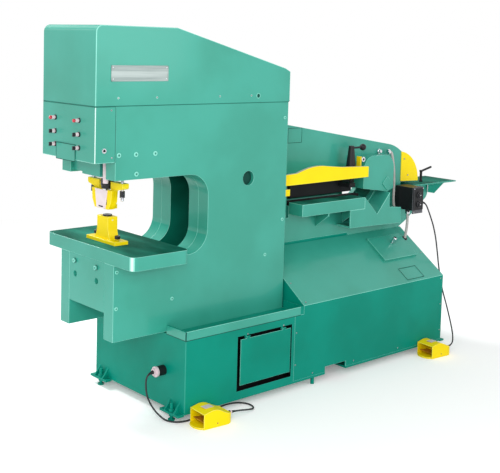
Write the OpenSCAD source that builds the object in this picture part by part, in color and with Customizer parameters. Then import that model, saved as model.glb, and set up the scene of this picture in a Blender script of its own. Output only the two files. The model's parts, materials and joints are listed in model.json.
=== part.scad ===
/* [Frame plates] */
// Width across the four plates of the C-frame
frame_w = 540; // [500:5:600]
// Thickness of each C-frame plate
plate_t = 90; // [70:5:100]
// Set-back of the inner plates' front edge behind the outer plates'
inner_setback = 86; // [60:2:110]
// Depth of the throat behind the plates' front edge
throat_depth = 645; // [500:5:700]
// Radius of the throat's two inner corners
throat_r = 134; // [80:2:180]
// Height of the opening between the punch table's underside and the head
throat_h = 459; // [420:1:520]
// Width of the upright behind the throat
upright_w = 621; // [560:1:680]
// Height of the bare plates of the head
head_h = 400; // [360:5:440]
// Depth of the lower jaw under the punch table
jaw_h = 423; // [400:1:423]
// Height of the jaw's front plate
jaw_plate_h = 277; // [200:1:320]
// Thickness of the jaw's front plate
jaw_plate_t = 40; // [20:2:60]
// Diameter of the beam's pivot pin through the upright
pivot_d = 85; // [70:1:95]

/* [Hood and front cover] */
// Thickness of the cover sheets
sheet_t = 3; // [2:0.5:5]
// Height of the hood above the head plates
hood_h = 428; // [380:2:480]
// Length of the hood's flat top
hood_flat = 530; // [400:5:700]
// Height of the hood's rear edge above the head plates
hood_rear_h = 207; // [150:1:260]
// Overhang of the hood behind the upright
hood_over = 10; // [6:1:30]
// Radius of the hood's folded top corners
hood_r = 40; // [20:1:60]
// Depth of the front cover ahead of the plates
cover_d = 129; // [110:1:160]
// Height of the front cover
cover_h = 300; // [260:1:360]
// Width and height of the access panel
panel_w = 194; // [160:1:194]
// Height of the access panel
panel_h = 90; // [60:1:120]
// Length of the blank nameplate
nameplate_w = 374; // [200:2:400]
// Height of the blank nameplate
nameplate_h = 85; // [50:1:100]

/* [Controls] */
// Diameter of the control barrels
barrel_d = 22; // [18:0.5:26]
// Diameter of the control bezels
bezel_d = 30; // [28:0.5:40]
// Thickness of the control bezels
bezel_t = 6; // [4:0.5:10]
// Projection of a control ahead of the front cover
control_l = 40; // [30:1:50]
// Spacing of the two control columns
control_gap_y = 244; // [200:2:300]
// Spacing of the control rows
control_gap_z = 75; // [60:1:90]
// Travel of a push button
button_travel = 4; // [2:0.5:6]

/* [Punch] */
// Distance of the punch axis behind the front cover
punch_x = 262; // [250:1:280]
// Diameter of the punch ram
ram_d = 78; // [66:1:80]
// Diameter of the ram's gland
gland_d = 150; // [130:1:170]
// Height of the gland below the head
gland_h = 20; // [12:1:30]
// Diameter of the ram's piston
piston_d = 140; // [120:1:145]
// Stroke of the punch ram
punch_stroke = 70; // [40:5:75]
// Diameter of the punch coupling nut
nut_d = 80; // [76:1:90]
// Height of the punch coupling nut
nut_h = 62; // [50:1:70]
// Diameter of the punch body
punch_d = 30; // [29:1:36]
// Diameter of the punch tip
tip_d = 26; // [10:1:28]
// Spacing of the stripper's two studs
stud_gap = 290; // [270:2:310]
// Diameter of the stripper's studs
stud_d = 18; // [14:1:24]
// Thickness of the stripper along the throat
stripper_t = 43; // [30:1:60]
// Height of the stripper's frame
stripper_h = 110; // [100:1:120]
// Width of the stripper's frame at the top
stripper_w = 200; // [190:1:220]
// Height of the stripper's bottom bar
stripper_bar = 25; // [18:1:30]
// Depth of the stripper's cross arms
arm_h = 32; // [24:1:36]
// Length of the stripper's cross arms from tip to tip
arm_w = 352; // [340:2:400]
// Diameter of the die
die_d = 54; // [50:1:56]
// Height of the die
die_h = 30; // [20:1:40]
// Height of the die above the die holder
die_proud = 8; // [4:1:15]
// Width of the die holder's post along the throat
post_w = 64; // [60:1:72]
// Width of the die holder's post across the throat
post_y = 110; // [100:1:130]
// Height of the gap between the stripper and the die
punch_gap = 37; // [20:1:60]
// Length of the die holder's foot
foot_l = 290; // [280:2:330]
// Thickness of the die holder's foot
foot_t = 20; // [16:1:30]
// Spacing of the die holder's bolts
foot_bolt_gap = 208; // [190:2:220]

/* [Punch table] */
// Height of the punch table above the floor
table_z = 980; // [980:1:1000]
// Thickness of the punch table
table_t = 75; // [50:1:75]
// Length of the punch table along the throat
table_l = 381; // [340:1:420]
// Width of the punch table
table_w = 884; // [780:2:896]
// Corner radius of the punch table
table_r = 40; // [15:1:60]
// Shift of the punch table away from the near side
table_shift = 6; // [0:1:10]

/* [Base] */
// Distance of the base's end wall behind the front cover
base_x = 493; // [470:1:510]
// Width of the base
base_w = 896; // [880:2:920]
// Height of the base's underside above the floor
base_z = 46; // [40:1:60]
// Height of the base's walls above the floor
wall_z = 469; // [460:1:475]
// Thickness of the base's plates
base_t = 12; // [8:1:16]
// Height of the tray's lip above the walls
lip_h = 50; // [30:1:52]
// Distance from the base's end to the service panel's seam
seam_x = 842; // [830:1:860]
// Length of the slug door's opening
slug_l = 437; // [400:1:450]
// Height of the slug door's opening
slug_h = 326; // [300:1:340]
// Distance of the slug door's opening from the base's end
slug_x = 381; // [370:1:390]
// Height of the slug door's sill above the floor
slug_z = 97; // [90:1:110]
// Length of the fork pocket
fork_l = 191; // [150:1:220]
// Height of the fork pocket above the base's underside
fork_h = 49; // [30:1:60]
// Width of a levelling foot bracket
bracket_w = 170; // [150:2:174]
// Reach of a levelling foot bracket
bracket_l = 43; // [36:1:60]
// Height of a levelling foot bracket
bracket_h = 70; // [50:1:90]
// Diameter of a levelling bolt
level_d = 20; // [14:1:24]

/* [Power unit cover] */
// Height of the cover's fold above the floor
fold_z = 521; // [521:1:530]
// Height at which the cover's slope meets the shear frame
slope_top_z = 805; // [780:1:820]
// Height of the upturned flange above the slope
flange_h = 18; // [12:1:24]
// Gap between the upright and the cover's end wall
cover_gap = 15; // [8:1:20]
// Length of the hatch along the slope's width
hatch_l = 346; // [300:2:360]
// Width of the hatch, measured level
hatch_w = 174; // [150:2:190]
// Thickness of the hatch
hatch_t = 17; // [10:1:22]
// Diameter of the hatch knob
knob_d = 30; // [22:1:40]
// Length of the hatch knob
knob_l = 50; // [36:1:56]
// Length of the oil tank
tank_l = 640; // [500:10:660]
// Diameter of the pump's motor
motor_d = 220; // [180:2:230]

/* [Shear] */
// Thickness of each shear frame plate
shear_t = 40; // [30:1:44]
// Thickness of the shear beam
beam_t = 124; // [110:1:126]
// Space between the shear frame plates
shear_gap = 136; // [132:1:144]
// Distance of the shear's middle plane from the machine's
shear_y = 70; // [66:1:74]
// Length of the shear frame behind the upright
shear_l = 1389; // [1380:1:1396]
// Height of the shear frame at the upright
shear_z0 = 1634; // [1600:1:1660]
// Height of the shear frame where its end begins to round
shear_z1 = 1422; // [1410:1:1430]
// Height of the beam's pivot pin above the floor
pivot_z = 1313; // [1300:1:1325]
// Diameter of the shear cylinder
cylinder_d = 120; // [90:1:126]
// Diameter of the shear cylinder's rod
rod_d = 60; // [40:1:70]
// Diameter of the pin between rod and beam
link_d = 50; // [40:1:56]
// Length of the flat-bar slot
slot_l = 707; // [680:1:720]
// Height of the flat-bar slot
slot_h = 105; // [90:1:110]
// Height of the shear table above the floor
shear_table_z = 1084; // [1076:1:1086]
// Length of the shear table
shear_table_l = 604; // [560:1:620]
// Reach of the shear table from the frame plate
shear_table_w = 130; // [110:1:150]
// How far the rear ledge behind the flat-bar slot stands out, mm
rear_ledge_w = 90; // [60:1:120]
// Height of the shear table's front plate
apron_h = 80; // [60:1:90]
// Depth of the angle notch
vee_h = 129; // [110:1:135]
// Height of the angle block's lower edge above the floor
block_z = 882; // [875:1:890]
// Reach of the angle guard from the frame plate
arch_d = 90; // [70:1:110]
// Width of the angle guard
arch_w = 318; // [290:1:330]
// Height of the angle guard
arch_h = 224; // [210:1:226]
// Length of the guard bar
bar_l = 823; // [760:1:830]
// Height of the guard bar at its ends
bar_h = 72; // [60:1:80]
// Rise of the guard bar's hump above its ends
bar_hump = 40; // [20:1:50]
// Thickness of the guard bar
bar_t = 24; // [10:1:30]
// Distance of the guard bar's front from the frame plate
bar_off = 162; // [150:1:175]
// Diameter of the hold-down screw
screw_d = 20; // [16:1:26]
// Diameter of the hold-down lever's ball
ball_d = 46; // [36:1:54]

/* [Notcher] */
// Length of the notcher table
notch_table_l = 607; // [560:1:640]
// Width of the notcher table
notch_table_w = 300; // [270:2:320]
// Thickness of the notcher table
notch_table_t = 9; // [8:1:16]
// Height of the notcher table's top above the floor
notch_table_z = 1107; // [1104:1:1116]
// Reach of the frame's nose under the notcher table
nose_l = 321; // [300:1:340]
// Radius of the notcher guard
notch_r = 230; // [215:1:236]
// Height of the notcher guard's lower edge above the table
notch_clear = 35; // [20:1:60]

/* [Control box and pedals] */
// Width of the control box across the machine
box_w = 163; // [140:1:170]
// Depth of the control box along the machine
box_d = 115; // [100:1:120]
// Height of the control box
box_h = 167; // [150:1:180]
// Length of a foot pedal's guard
pedal_l = 204; // [170:1:210]
// Width of a foot pedal's guard
pedal_w = 140; // [120:1:150]
// Height of a foot pedal's guard
pedal_h = 100; // [90:1:110]
// Wall of a foot pedal's guard
pedal_t = 5; // [4:0.5:8]
// Diameter of the pedal cords
cord_d = 10; // [7:0.5:11]
// Diameter of the conduits
conduit_d = 19; // [15:1:20]

/* [Hidden] */
$fn = 48;

teal = [0.2, 0.6, 0.53];
yellow = [1, 0.88, 0];
black = [0.08, 0.08, 0.09];
chrome = [0.8, 0.8, 0.82];
steel = [0.6, 0.6, 0.6];

// Clearances and thin things
run = 0.05;          // radial running fit of a shaft, pin or plunger
slip = 0.3;          // gap round a bolt or between bodies that pass each other
eps = 1;             // overrun of a cut past the face that it opens
mark_r = 4.5;        // radius of the small cover screws' heads
mark_h = 2.5;        // height of the small cover screws' heads

// C-frame, along the machine from the front cover's face
hw = frame_w / 2;
inner_y = hw - plate_t;
gap_y = hw - 2 * plate_t;
face_x = cover_d;
inner_x = face_x + inner_setback;
throat_x = face_x + throat_depth;
back_x = throat_x + upright_w;
jaw_top = table_z - table_t;
throat_top = jaw_top + throat_h;
head_top = throat_top + head_h;
jaw_bottom = jaw_top - jaw_h;
rebate_h = 90;
post_h = throat_h - table_t - gland_h - nut_h - stripper_h - die_proud - punch_gap;
stripper_x = punch_x - nut_d / 2 - 1;
rebated_y = hw - sheet_t;

// Base
rod_l = punch_stroke + gland_h + 176;
piston_h = 60;
base_y = base_w / 2;
floor_top = base_z + base_t;
fork_x = base_x + 1122;
cover_x = back_x + cover_gap;
slope = (slope_top_z - fold_z) / (base_y - 38);
slope_a = atan(slope);

// Shear frame
near_y1 = shear_y - shear_gap / 2;
near_y0 = near_y1 - shear_t;
far_y0 = shear_y + shear_gap / 2;
far_y1 = far_y0 + shear_t;
beam_y0 = shear_y - beam_t / 2;
beam_y1 = shear_y + beam_t / 2;
shear_end = back_x + shear_l;
base_end = shear_end + base_t;
pivot_x = throat_x + 307;
link_x = shear_end - 144;
link_z = pivot_z + 30;
arm_y1 = gap_y - 2;
slot_x = back_x + 233;
slot_top = shear_table_z + slot_h + 8;
table_x = slot_x + 22;
vee_x = table_x + shear_table_l;
hold_x = slot_x + 520;
hold_y = near_y0 - 82;
lug_z = slot_top + 73;
nose_z = notch_table_z - notch_table_t;
nose_x = shear_end + nose_l;
notch_x = shear_end + 9;

// The whole machine is centred over its footprint
x_mid = (notch_x + notch_table_l - control_l) / 2;

// Rows and columns of the front controls
column_far = 10 + control_gap_y / 2;
column_near = 10 - control_gap_y / 2;
row_top = head_top - 82;
row_mid = row_top - control_gap_z;
row_low = row_mid - control_gap_z + 3;

// Routes of the pedal cords along their centrelines, in the machine's own frame
cord_1_route = [[-1262.4, -250, 254], [-1268, -250, 254], [-1284, -250, 251], [-1297, -250, 242],
    [-1306, -250, 229], [-1309, -250, 213], [-1309, -250, 180], [-1301, -251, 130],
    [-1284, -257, 84], [-1267, -277, 45], [-1255, -310, 20], [-1247, -352, 7], [-1233, -394, 6],
    [-1200, -424, 6], [-1145, -436, 6], [-1070, -429, 6], [-980, -408, 6], [-885, -388, 6],
    [-806, -384, 6], [-750, -402, 6], [-719, -442, 6], [-718, -492, 6], [-744, -528, 9],
    [-790, -544, 18], [-850, -548, 29], [-901, -543.1, 34], [-932.5, -540.3, 35]];
cord_2_route = [[1156.4, -200, 1000], [1162, -200, 1000], [1178, -201, 997], [1191, -204, 989], [1200, -209, 976],
    [1204, -217, 958], [1203, -245, 906], [1196, -282, 838], [1186, -315, 758], [1177, -342, 660],
    [1171, -368, 545], [1169, -404, 410], [1170, -450, 290], [1170, -486, 190], [1168, -508, 125],
    [1158, -524, 80], [1136, -537, 51], [1099, -544.1, 37], [1067.5, -541.3, 35]];
cord_sides = 10;

// Height of the treadles' pins above the floor
treadle_z = 22;

// Bolts and plugs on the near outer plate, as [x, z, head diameter]
frame_bolt_places = [[face_x + 21, head_top - 262, 27], [face_x + 132, head_top - 263, 27],
    [face_x + 260, head_top - 264, 27], [face_x + 136, head_top - 370, 27], [face_x + 19, jaw_top - 37, 16],
    [face_x + 18, jaw_top - 238, 16], [face_x + 395, jaw_top - 239, 16], [back_x - 29, head_top - 96, 18],
    [back_x - 27, jaw_top + 131, 18], [back_x - 164, jaw_top - 74, 18]];
jaw_bolt_y = [-102, 118];

// Screws along the hood's skirt, as [x, z]
hood_screw_places = [for (x = [13, 266, 714, 958]) [face_x + x, head_top + 44]];

// Screws on the near side of the base and service panel, as [x, z]
side_screw_places = [[base_x + 857, 361], [base_x + 855, 160], [base_x + 1008, 79], [base_x + 1387, 82],
    [base_x + 1831, 82], [base_end - 27, 500], [base_end - 20, 315], [base_end - 19, 127]];

// Screws on the cover's slope, as [x, y]
slope_screw_places = [[cover_x + 23, -297], [cover_x + 28, -429], [base_end - 31, -262]];

// Where the pedals stand, as [x, y, turn about the vertical]
pedal_1_at = [-1154, -521, -5];
pedal_2_at = [846, -522, -5];

// ---------- shapes ----------

// A flat outline drawn as (x, z), from y0 to y1
module along_y(y0, y1) translate([0, y1, 0]) rotate([90, 0, 0]) linear_extrude(y1 - y0) children();

// A flat outline drawn as (y, z), from x0 to x1
module along_x(x0, x1) translate([x0, 0, 0]) rotate([90, 0, 90]) linear_extrude(x1 - x0) children();

// A round bar from p along x, y or z
module bar_x(p, d, l) translate(p) rotate([0, 90, 0]) cylinder(d = d, h = l);
module bar_y(p, d, l) translate(p) rotate([-90, 0, 0]) cylinder(d = d, h = l);
module bar_z(p, d, l) translate(p) cylinder(d = d, h = l);

// A block between two corners
module block(lo, hi) translate(lo) cube(hi - lo);

// Points of an arc
function arc(c, r, a0, a1, n) = [for (i = [0:n]) c + r * [cos(a0 + (a1 - a0) * i / n), sin(a0 + (a1 - a0) * i / n)]];

// The machine's own frame
module placed() translate([-x_mid, 0, 0]) children();

// ---------- C-frame ----------

// Side outline of a C-frame plate whose front edge is at x, with its jaw down to z
module frame_outline(x, jaw_z, top_z) {
    low = [throat_x - throat_r, jaw_top + throat_r];
    high = [throat_x - throat_r, throat_top - throat_r];
    polygon(concat([[x, jaw_top]], arc(low, throat_r, -90, 0, 12), arc(high, throat_r, 0, 90, 12),
        [[x, throat_top], [x, top_z], [back_x, top_z], [back_x, floor_top],
        [base_x + base_t, floor_top], [base_x + base_t, jaw_z], [x, jaw_z]]));
}

// One outer plate, with the rebate that the hood's skirt covers
module outer_plate(side) {
    difference() {
        if (side < 0) {
            along_y(-hw, -inner_y) frame_outline(face_x, jaw_bottom, head_top);
            along_y(-rebated_y, -inner_y) head_strip();
        } else {
            along_y(inner_y, hw) frame_outline(face_x, jaw_bottom, head_top);
            along_y(inner_y, rebated_y) head_strip();
        }
        bar_y([pivot_x, -hw - eps, pivot_z], (pivot_d + 2), 2 * hw + 2 * eps);
    }
}
module head_strip() translate([face_x, head_top - eps]) square([back_x - face_x, rebate_h + eps]);

module outer_plates() color(teal) placed() difference() {
    union() {
        outer_plate(-1);
        outer_plate(1);
    }
    for (p = frame_bolt_places)
        bar_y([p[0], -hw - eps, p[1]], p[2] * 0.55 + 2 * slip, 26 + eps);
    for (p = hood_screw_places, y = [-hw - eps, hw - 20])
        bar_y([p[0], y, p[1]], 6 + 2 * slip, 20 + eps);
}

// The two inner plates with the welded blocks that join them to the shear and carry its cylinder
module inner_frame() color(teal) placed() difference() {
    union() {
        for (y = [-inner_y, gap_y]) along_y(y, y + plate_t)
            frame_outline(inner_x, jaw_top - jaw_plate_h, head_top + rebate_h);
        block([back_x - 195, -gap_y, 1100], [back_x, near_y0, head_top - 164]);
        block([back_x - 400, -gap_y, floor_top], [back_x - 340, gap_y, 700]);
    }
    bar_y([pivot_x, -hw, pivot_z], pivot_d + 2 * run, 2 * hw);
    for (y = [-stud_gap / 2, stud_gap / 2])
        bar_z([punch_x, y, throat_top - eps], stud_d + 2 * slip, 60 + eps);
}

module jaw_front_plate() color(teal) placed() difference() {
    block([face_x, -inner_y, jaw_top - jaw_plate_h], [face_x + jaw_plate_t, inner_y, jaw_top]);
    for (y = jaw_bolt_y) {
        bar_x([face_x - eps, y, jaw_top - 40], 14 + 2 * slip, jaw_plate_t / 2 + eps);
        bar_x([face_x - eps, y, jaw_top - 116], 34, jaw_plate_t / 2 + eps);
    }
}

module punch_table() color(teal) placed() difference() {
    translate([face_x, -table_w / 2 - table_shift, jaw_top]) linear_extrude(table_t)
        rounded(table_l, table_w, table_r);
    bar_z([punch_x, 0, jaw_top - eps], tip_d + 10, table_t + 2 * eps);
    for (y = [-foot_bolt_gap / 2, foot_bolt_gap / 2])
        bar_z([punch_x, y, table_z - 40], 20 + 2 * slip, 40 + eps);
}

// A rectangle from the origin with round corners, drawn as arcs
module rounded(l, w, r) polygon(concat(arc([r, r], r, 180, 270, 8), arc([l - r, r], r, 270, 360, 8),
    arc([l - r, w - r], r, 0, 90, 8), arc([r, w - r], r, 90, 180, 8)));

// ---------- hood and front cover ----------

// Side outline of the hood, inset by t all round but at its foot
module hood_outline(t) {
    top = head_top + hood_h - t;
    end_x = back_x + hood_over;
    r = hood_r - t;
    polygon(concat([[t, head_top - (t > 0 ? eps : 0)]], arc([hood_r, head_top + hood_h - hood_r], r, 180, 90, 8),
        [[hood_flat, top], [end_x - 40, head_top + hood_rear_h - t], [end_x - t, head_top + hood_rear_h - 20],
        [end_x - t, head_top + (t > 0 ? -eps : 9)]],
        t > 0 ? [] : [[back_x + 1, head_top]]));
}
module hood_cover() color(teal) placed() difference() {
    along_y(-hw, hw) hood_outline(0);
    along_y(-hw + sheet_t, hw - sheet_t) hood_outline(sheet_t);
    for (p = hood_screw_places) bar_y([p[0], -hw - eps, p[1]], 6 + 2 * slip, 2 * hw + 2 * eps);
    bar_y([face_x + 1014, -hw - eps, head_top + 42], 24, 2 * eps + sheet_t);
}
module nameplate() color(chrome) placed()
    block([93, -hw - 2, head_top + 133], [93 + nameplate_w, -hw, head_top + 133 + nameplate_h]);

module front_cover() color(teal) placed() difference() {
    block([0, -hw, head_top - cover_h], [face_x, hw, head_top]);
    block([sheet_t, -hw + sheet_t, head_top - cover_h + sheet_t], [face_x + eps, hw - sheet_t, head_top + eps]);
    for (y = [column_near, column_far], z = [row_top, row_mid, row_low])
        bar_x([-eps, y, z], barrel_d + 2 + 2 * slip, sheet_t + 2 * eps);
    bar_y([54, -hw - eps, head_top - 233], 20 + 2 * slip, sheet_t + 2 * eps);
}
module access_panel() color(teal) placed()
    block([-sheet_t, 18 - panel_w / 2, head_top - cover_h - 7], [0, 18 + panel_w / 2, head_top - cover_h - 7 + panel_h]);

// ---------- front controls ----------

module bezel(y, z) difference() {
    union() {
        bar_x([-bezel_t, y, z], bezel_d, bezel_t);
        bar_x([0, y, z], barrel_d + 2, 14);
    }
    bar_x([-bezel_t - eps, y, z], barrel_d + 2 * run - 2, bezel_t + 14 + 2 * eps);
}
module control_bezels() color(black) placed()
    for (y = [column_near, column_far], z = [row_top, row_mid, row_low]) bezel(y, z);

// A push button: stem in the bezel, barrel ahead of it and a domed tip
module push_button(y, z) placed() {
    bar_x([-control_l + 8, y, z], barrel_d, control_l - 8 - bezel_t - button_travel - 1);
    bar_x([-bezel_t - button_travel - 1, y, z], barrel_d - 2, bezel_t + button_travel + 12);
    translate([-control_l + 8, y, z]) rotate([0, -90, 0]) cylinder(d1 = barrel_d - 1, d2 = barrel_d - 6, h = 8);
}
module start_button() color("red") push_button(column_near, row_top);
module stop_button() color("red") push_button(column_far, row_top);

// A rotary selector: stem, knurled barrel and a raised bar across its tip
module selector(y, z) placed() {
    bar_x([-control_l + 8, y, z], barrel_d, control_l - 8 - bezel_t - slip);
    bar_x([-bezel_t - slip - eps, y, z], barrel_d - 2, bezel_t + 12);
    block([-control_l, y - 3, z - barrel_d / 2 + 1], [-control_l + 8, y + 3, z + barrel_d / 2 - 1]);
}
module selector_1() color(chrome) selector(column_near, row_mid);
module selector_2() color(chrome) selector(column_far, row_mid);
module selector_3() color(chrome) selector(column_near, row_low);
module selector_4() color(chrome) selector(column_far, row_low);

// The quarter-turn latch on the front cover's near side
module side_latch() color(chrome) placed() {
    z = head_top - 233;
    difference() {
        bar_y([54, -hw - 8, z], 26, 8);
        block([52.5, -hw - 9, z - 9], [55.5, -hw - 4, z + 9]);
    }
    bar_y([54, -hw, z], 20, 14);
    block([46, -hw + 14, z - 40], [62, -hw + 17, z + 10]);
}

// ---------- punch station ----------

// The cylinder's body, with the piston's bore above the gland's seat
module punch_cylinder() color(teal) placed() difference() {
    union() {
        block([face_x + 21, -gap_y, throat_top], [face_x + 271, gap_y, head_top]);
        block([face_x + 21, gap_y - eps, throat_top + 12], [inner_x, inner_y, throat_top + 180]);
    }
    bar_z([punch_x, 0, throat_top - eps], piston_d + 2 * run, rod_l + piston_h + 10 + eps);
}
module ram_gland() color(chrome) placed() difference() {
    union() {
        bar_z([punch_x, 0, throat_top - gland_h], gland_d, gland_h);
        bar_z([punch_x, 0, throat_top], piston_d - slip, 30);
    }
    bar_z([punch_x, 0, throat_top - gland_h - eps], ram_d + 2 * run, gland_h + 30 + 2 * eps);
}
// The ram: neck in the coupling nut, rod and piston
module ram() color(chrome) placed() {
    bar_z([punch_x, 0, throat_top - gland_h - 44], nut_d - 26, 44);
    bar_z([punch_x, 0, throat_top - gland_h], ram_d, rod_l);
    bar_z([punch_x, 0, throat_top - gland_h + rod_l], piston_d, piston_h);
}
module coupling_nut() color(black) placed() {
    z = throat_top - gland_h - nut_h;
    difference() {
        bar_z([punch_x, 0, z], nut_d, nut_h);
        bar_z([punch_x, 0, z - eps], punch_d + 5, nut_h + 2 * eps);
        bar_z([punch_x, 0, z + 8], nut_d - 26 + 2 * slip, nut_h);
        for (a = [0, 90]) translate([punch_x, 0, z + 22]) rotate([90, 0, a + 45])
            cylinder(d = 10, h = nut_d + 10, center = true);
    }
}
module punch() color(steel) placed() {
    z = throat_top - gland_h - nut_h + 8;
    bar_z([punch_x, 0, z], nut_d - 28, 10);
    bar_z([punch_x, 0, z - 78], punch_d, 78);
    bar_z([punch_x, 0, z - 105], tip_d, 27);
}

// The stripper: cross arms on the studs, two side plates and a slotted bottom bar
module stripper() color(yellow) placed() {
    top = throat_top - gland_h - nut_h;
    bottom = top - stripper_h;
    w = stripper_w / 2;
    leg = w - nut_d / 2 - 14;
    difference() {
        union() {
            for (s = [-1, 1]) along_x(stripper_x, stripper_x + stripper_t)
                polygon([[s * w, top], [s * (w - leg), top], [s * (w - leg), bottom + stripper_bar],
                    [s * (w - leg - 8), bottom], [s * (w - leg + 14), bottom], [s * (w - 6), bottom + 45]]);
            along_x(stripper_x, punch_x + punch_d / 2 + 15) polygon([[-w + leg, bottom], [w - leg, bottom],
                [w - leg, bottom + stripper_bar], [-w + leg, bottom + stripper_bar]]);
            for (s = [-1, 1]) along_x(punch_x - 20, punch_x - 20 + stripper_t)
                polygon([[s * (w - leg + 4), top], [s * w, top], [s * (arm_w / 2 - 8), top + 14],
                    [s * arm_w / 2, top + 22], [s * arm_w / 2, top + 14 + arm_h], [s * (w - leg + 4), top + 14 + arm_h]]);
        }
        bar_z([punch_x, 0, bottom - eps], punch_d + 6, stripper_bar + 2 * eps);
        block([stripper_x - eps, -punch_d / 2 - 3, bottom - eps],
            [punch_x, punch_d / 2 + 3, bottom + stripper_bar + eps]);
        for (y = [-stud_gap / 2, stud_gap / 2]) bar_z([punch_x, y, top - eps], stud_d + 2 * run, 100);
    }
}
// The clear guard on the stripper's front
module stripper_guard() color([0.9, 0.85, 0.85]) placed() {
    top = throat_top - gland_h - nut_h;
    block([stripper_x - 4, -nut_d / 2 - 22, top - stripper_h + 3], [stripper_x, nut_d / 2 + 22, top - 2]);
}
// The two nuts under the stripper's arms
module stripper_nuts() color(black) placed() {
    top = throat_top - gland_h - nut_h + 14;
    for (y = [-stud_gap / 2, stud_gap / 2]) difference() {
        bar_z([punch_x, y, top - 47], stud_d + 12, 36);
        bar_z([punch_x, y, top - 60], stud_d + 2 * run, 70);
    }
}
module stripper_stud(y) bar_z([punch_x, y, throat_top - 136], stud_d, 136 + 50);

// The die holder: post with flared feet on a bolted foot
module die_holder() color(yellow) placed() difference() {
    union() {
        translate([punch_x, 0, table_z]) linear_extrude(foot_t) square([post_w + 26, foot_l], center = true);
        block([punch_x - post_w / 2, -post_y / 2, table_z + foot_t], [punch_x + post_w / 2, post_y / 2, table_z + post_h]);
        for (s = [-1, 1]) translate([punch_x - post_w / 2, 0, table_z + foot_t]) mirror([0, s < 0 ? 1 : 0, 0])
            along_x(0, post_w) polygon([[post_y / 2 - 1, -eps], [post_y / 2 + 22, -eps], [post_y / 2 + 19, 5],
                [post_y / 2 + 9, 22], [post_y / 2 + 3, 42], [post_y / 2 - 1, 66]]);
    }
    bar_z([punch_x, 0, table_z - eps], tip_d + 8, post_h + 2 * eps);
    bar_z([punch_x, 0, table_z + post_h + die_proud - die_h], die_d + 2 * run, die_h);
    for (y = [-foot_bolt_gap / 2, foot_bolt_gap / 2]) bar_z([punch_x, y, table_z - eps], 20 + 2 * slip, foot_t + 2 * eps);
    bar_y([punch_x, -post_y / 2 - eps, table_z + post_h - 18], 8 + 2 * slip, 20);
}
module die() color(black) placed() difference() {
    bar_z([punch_x, 0, table_z + post_h + die_proud - die_h], die_d, die_h);
    bar_z([punch_x, 0, table_z + post_h - die_h], tip_d + 2, die_h + die_proud + eps);
}

// ---------- base ----------

slug_hinge_y = -base_y + base_t / 2;
slug_hinge_z = slug_z + slug_h - 14;
slug_knuckle_x = [base_x + slug_x + 77, base_x + slug_x + 365];

module base_frame() color(teal) placed() {
    base_box();
    for (s = [-1, 1]) tray(s);
    for (x = slug_knuckle_x) door_lug(x);
    for (s = [-1, 1]) foot_bracket(base_x, -1, s * (base_y - 88));
    for (s = [-1, 1]) foot_bracket(base_end, 1, s * (base_y - 88));
}
// Floor and walls, with the slug door's opening, the fork pockets and the service panels' recess
module base_box() difference() {
    union() {
        block([base_x, -base_y, base_z], [base_end, base_y, floor_top]);
        for (y = [-base_y, base_y - base_t]) block([base_x, y, floor_top], [base_end, y + base_t, wall_z]);
        for (x = [base_x, base_end - base_t])
            block([x, -base_y + base_t, floor_top], [x + base_t, base_y - base_t, wall_z]);
    }
    for (y = [-base_y - eps, base_y - sheet_t]) block([base_x + seam_x, y, base_z + 14],
        [base_end + eps, y + sheet_t + eps, wall_z + eps]);
    block([base_x + slug_x, -base_y - eps, slug_z],
        [base_x + slug_x + slug_l, -base_y + base_t + eps, slug_z + slug_h]);
    block([fork_x, -base_y - eps, base_z - eps], [fork_x + fork_l, base_y + eps, base_z + fork_h]);
    for (p = side_screw_places, s = [-1, 1]) if (p[1] < wall_z)
        bar_y([p[0], s * (base_y - base_t / 2) - base_t / 2, p[1]], 6 + 2 * slip, base_t);
}
// A pan with a standing lip along the frame, open against the plates
module tray(s) mirror([0, s > 0 ? 1 : 0, 0]) difference() {
    block([base_x, -base_y, wall_z], [cover_x, -hw, wall_z + lip_h]);
    block([base_x + 8, -base_y + 8, wall_z + 4], [cover_x - 8, -hw + eps, wall_z + lip_h + eps]);
}
// The bracket and pin that the slug door hangs on
module door_lug(x) {
    block([x - 16, -base_y, slug_hinge_z - 3], [x - 6, -base_y + base_t, slug_z + slug_h]);
    bar_x([x - 8, slug_hinge_y, slug_hinge_z], 6, 34);
}
// A levelling foot bracket: drilled shelf and two gussets
module foot_bracket(x, dir, y) {
    difference() {
        block([min(x, x + dir * bracket_l), y - bracket_w / 2, 38], [max(x, x + dir * bracket_l), y + bracket_w / 2, 50]);
        bar_z([x + dir * bracket_l / 2, y, 30], level_d + 2 * slip, 30);
    }
    for (s = [-1, 1]) along_y(y + s * bracket_w / 4 - 5, y + s * bracket_w / 4 + 5)
        polygon([[x, 50], [x + dir * bracket_l, 50], [x, 38 + bracket_h]]);
}
module slug_door() color(teal) placed() difference() {
    union() {
        block([base_x + slug_x + 28, -base_y + 3, slug_z + 29],
            [base_x + slug_x + slug_l - 6, -base_y + 8, slug_hinge_z - 8]);
        for (x = slug_knuckle_x) {
            bar_x([x - 4, slug_hinge_y, slug_hinge_z], 12, 24);
            block([x - 4, -base_y + 3, slug_hinge_z - 9], [x + 20, -base_y + 8, slug_hinge_z]);
        }
    }
    for (x = slug_knuckle_x) bar_x([x - 5, slug_hinge_y, slug_hinge_z], 6 + 2 * run, 26);
}
module levelling_bolts() color(steel) placed() {
    for (x = [base_x - bracket_l / 2, base_end + bracket_l / 2], y = [-base_y + 88, base_y - 88]) {
        bar_z([x, y, 0], 2 * level_d, 8);
        bar_z([x, y, 8], level_d, 92);
        bar_z([x, y, 26], level_d + 12, 12);
        bar_z([x, y, 50], level_d + 12, 14);
    }
    for (y = [-1, 1]) bar_z([fork_x - 91, y * (base_y - 22), 0], 24, base_z);
}

// ---------- power unit ----------

// Places children on the near slope at (x, y), their own y up the slope and z out of it
module on_slope(x, y) translate([x, y, fold_z + slope * (y + base_y)]) rotate([slope_a, 0, 0]) children();

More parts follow.
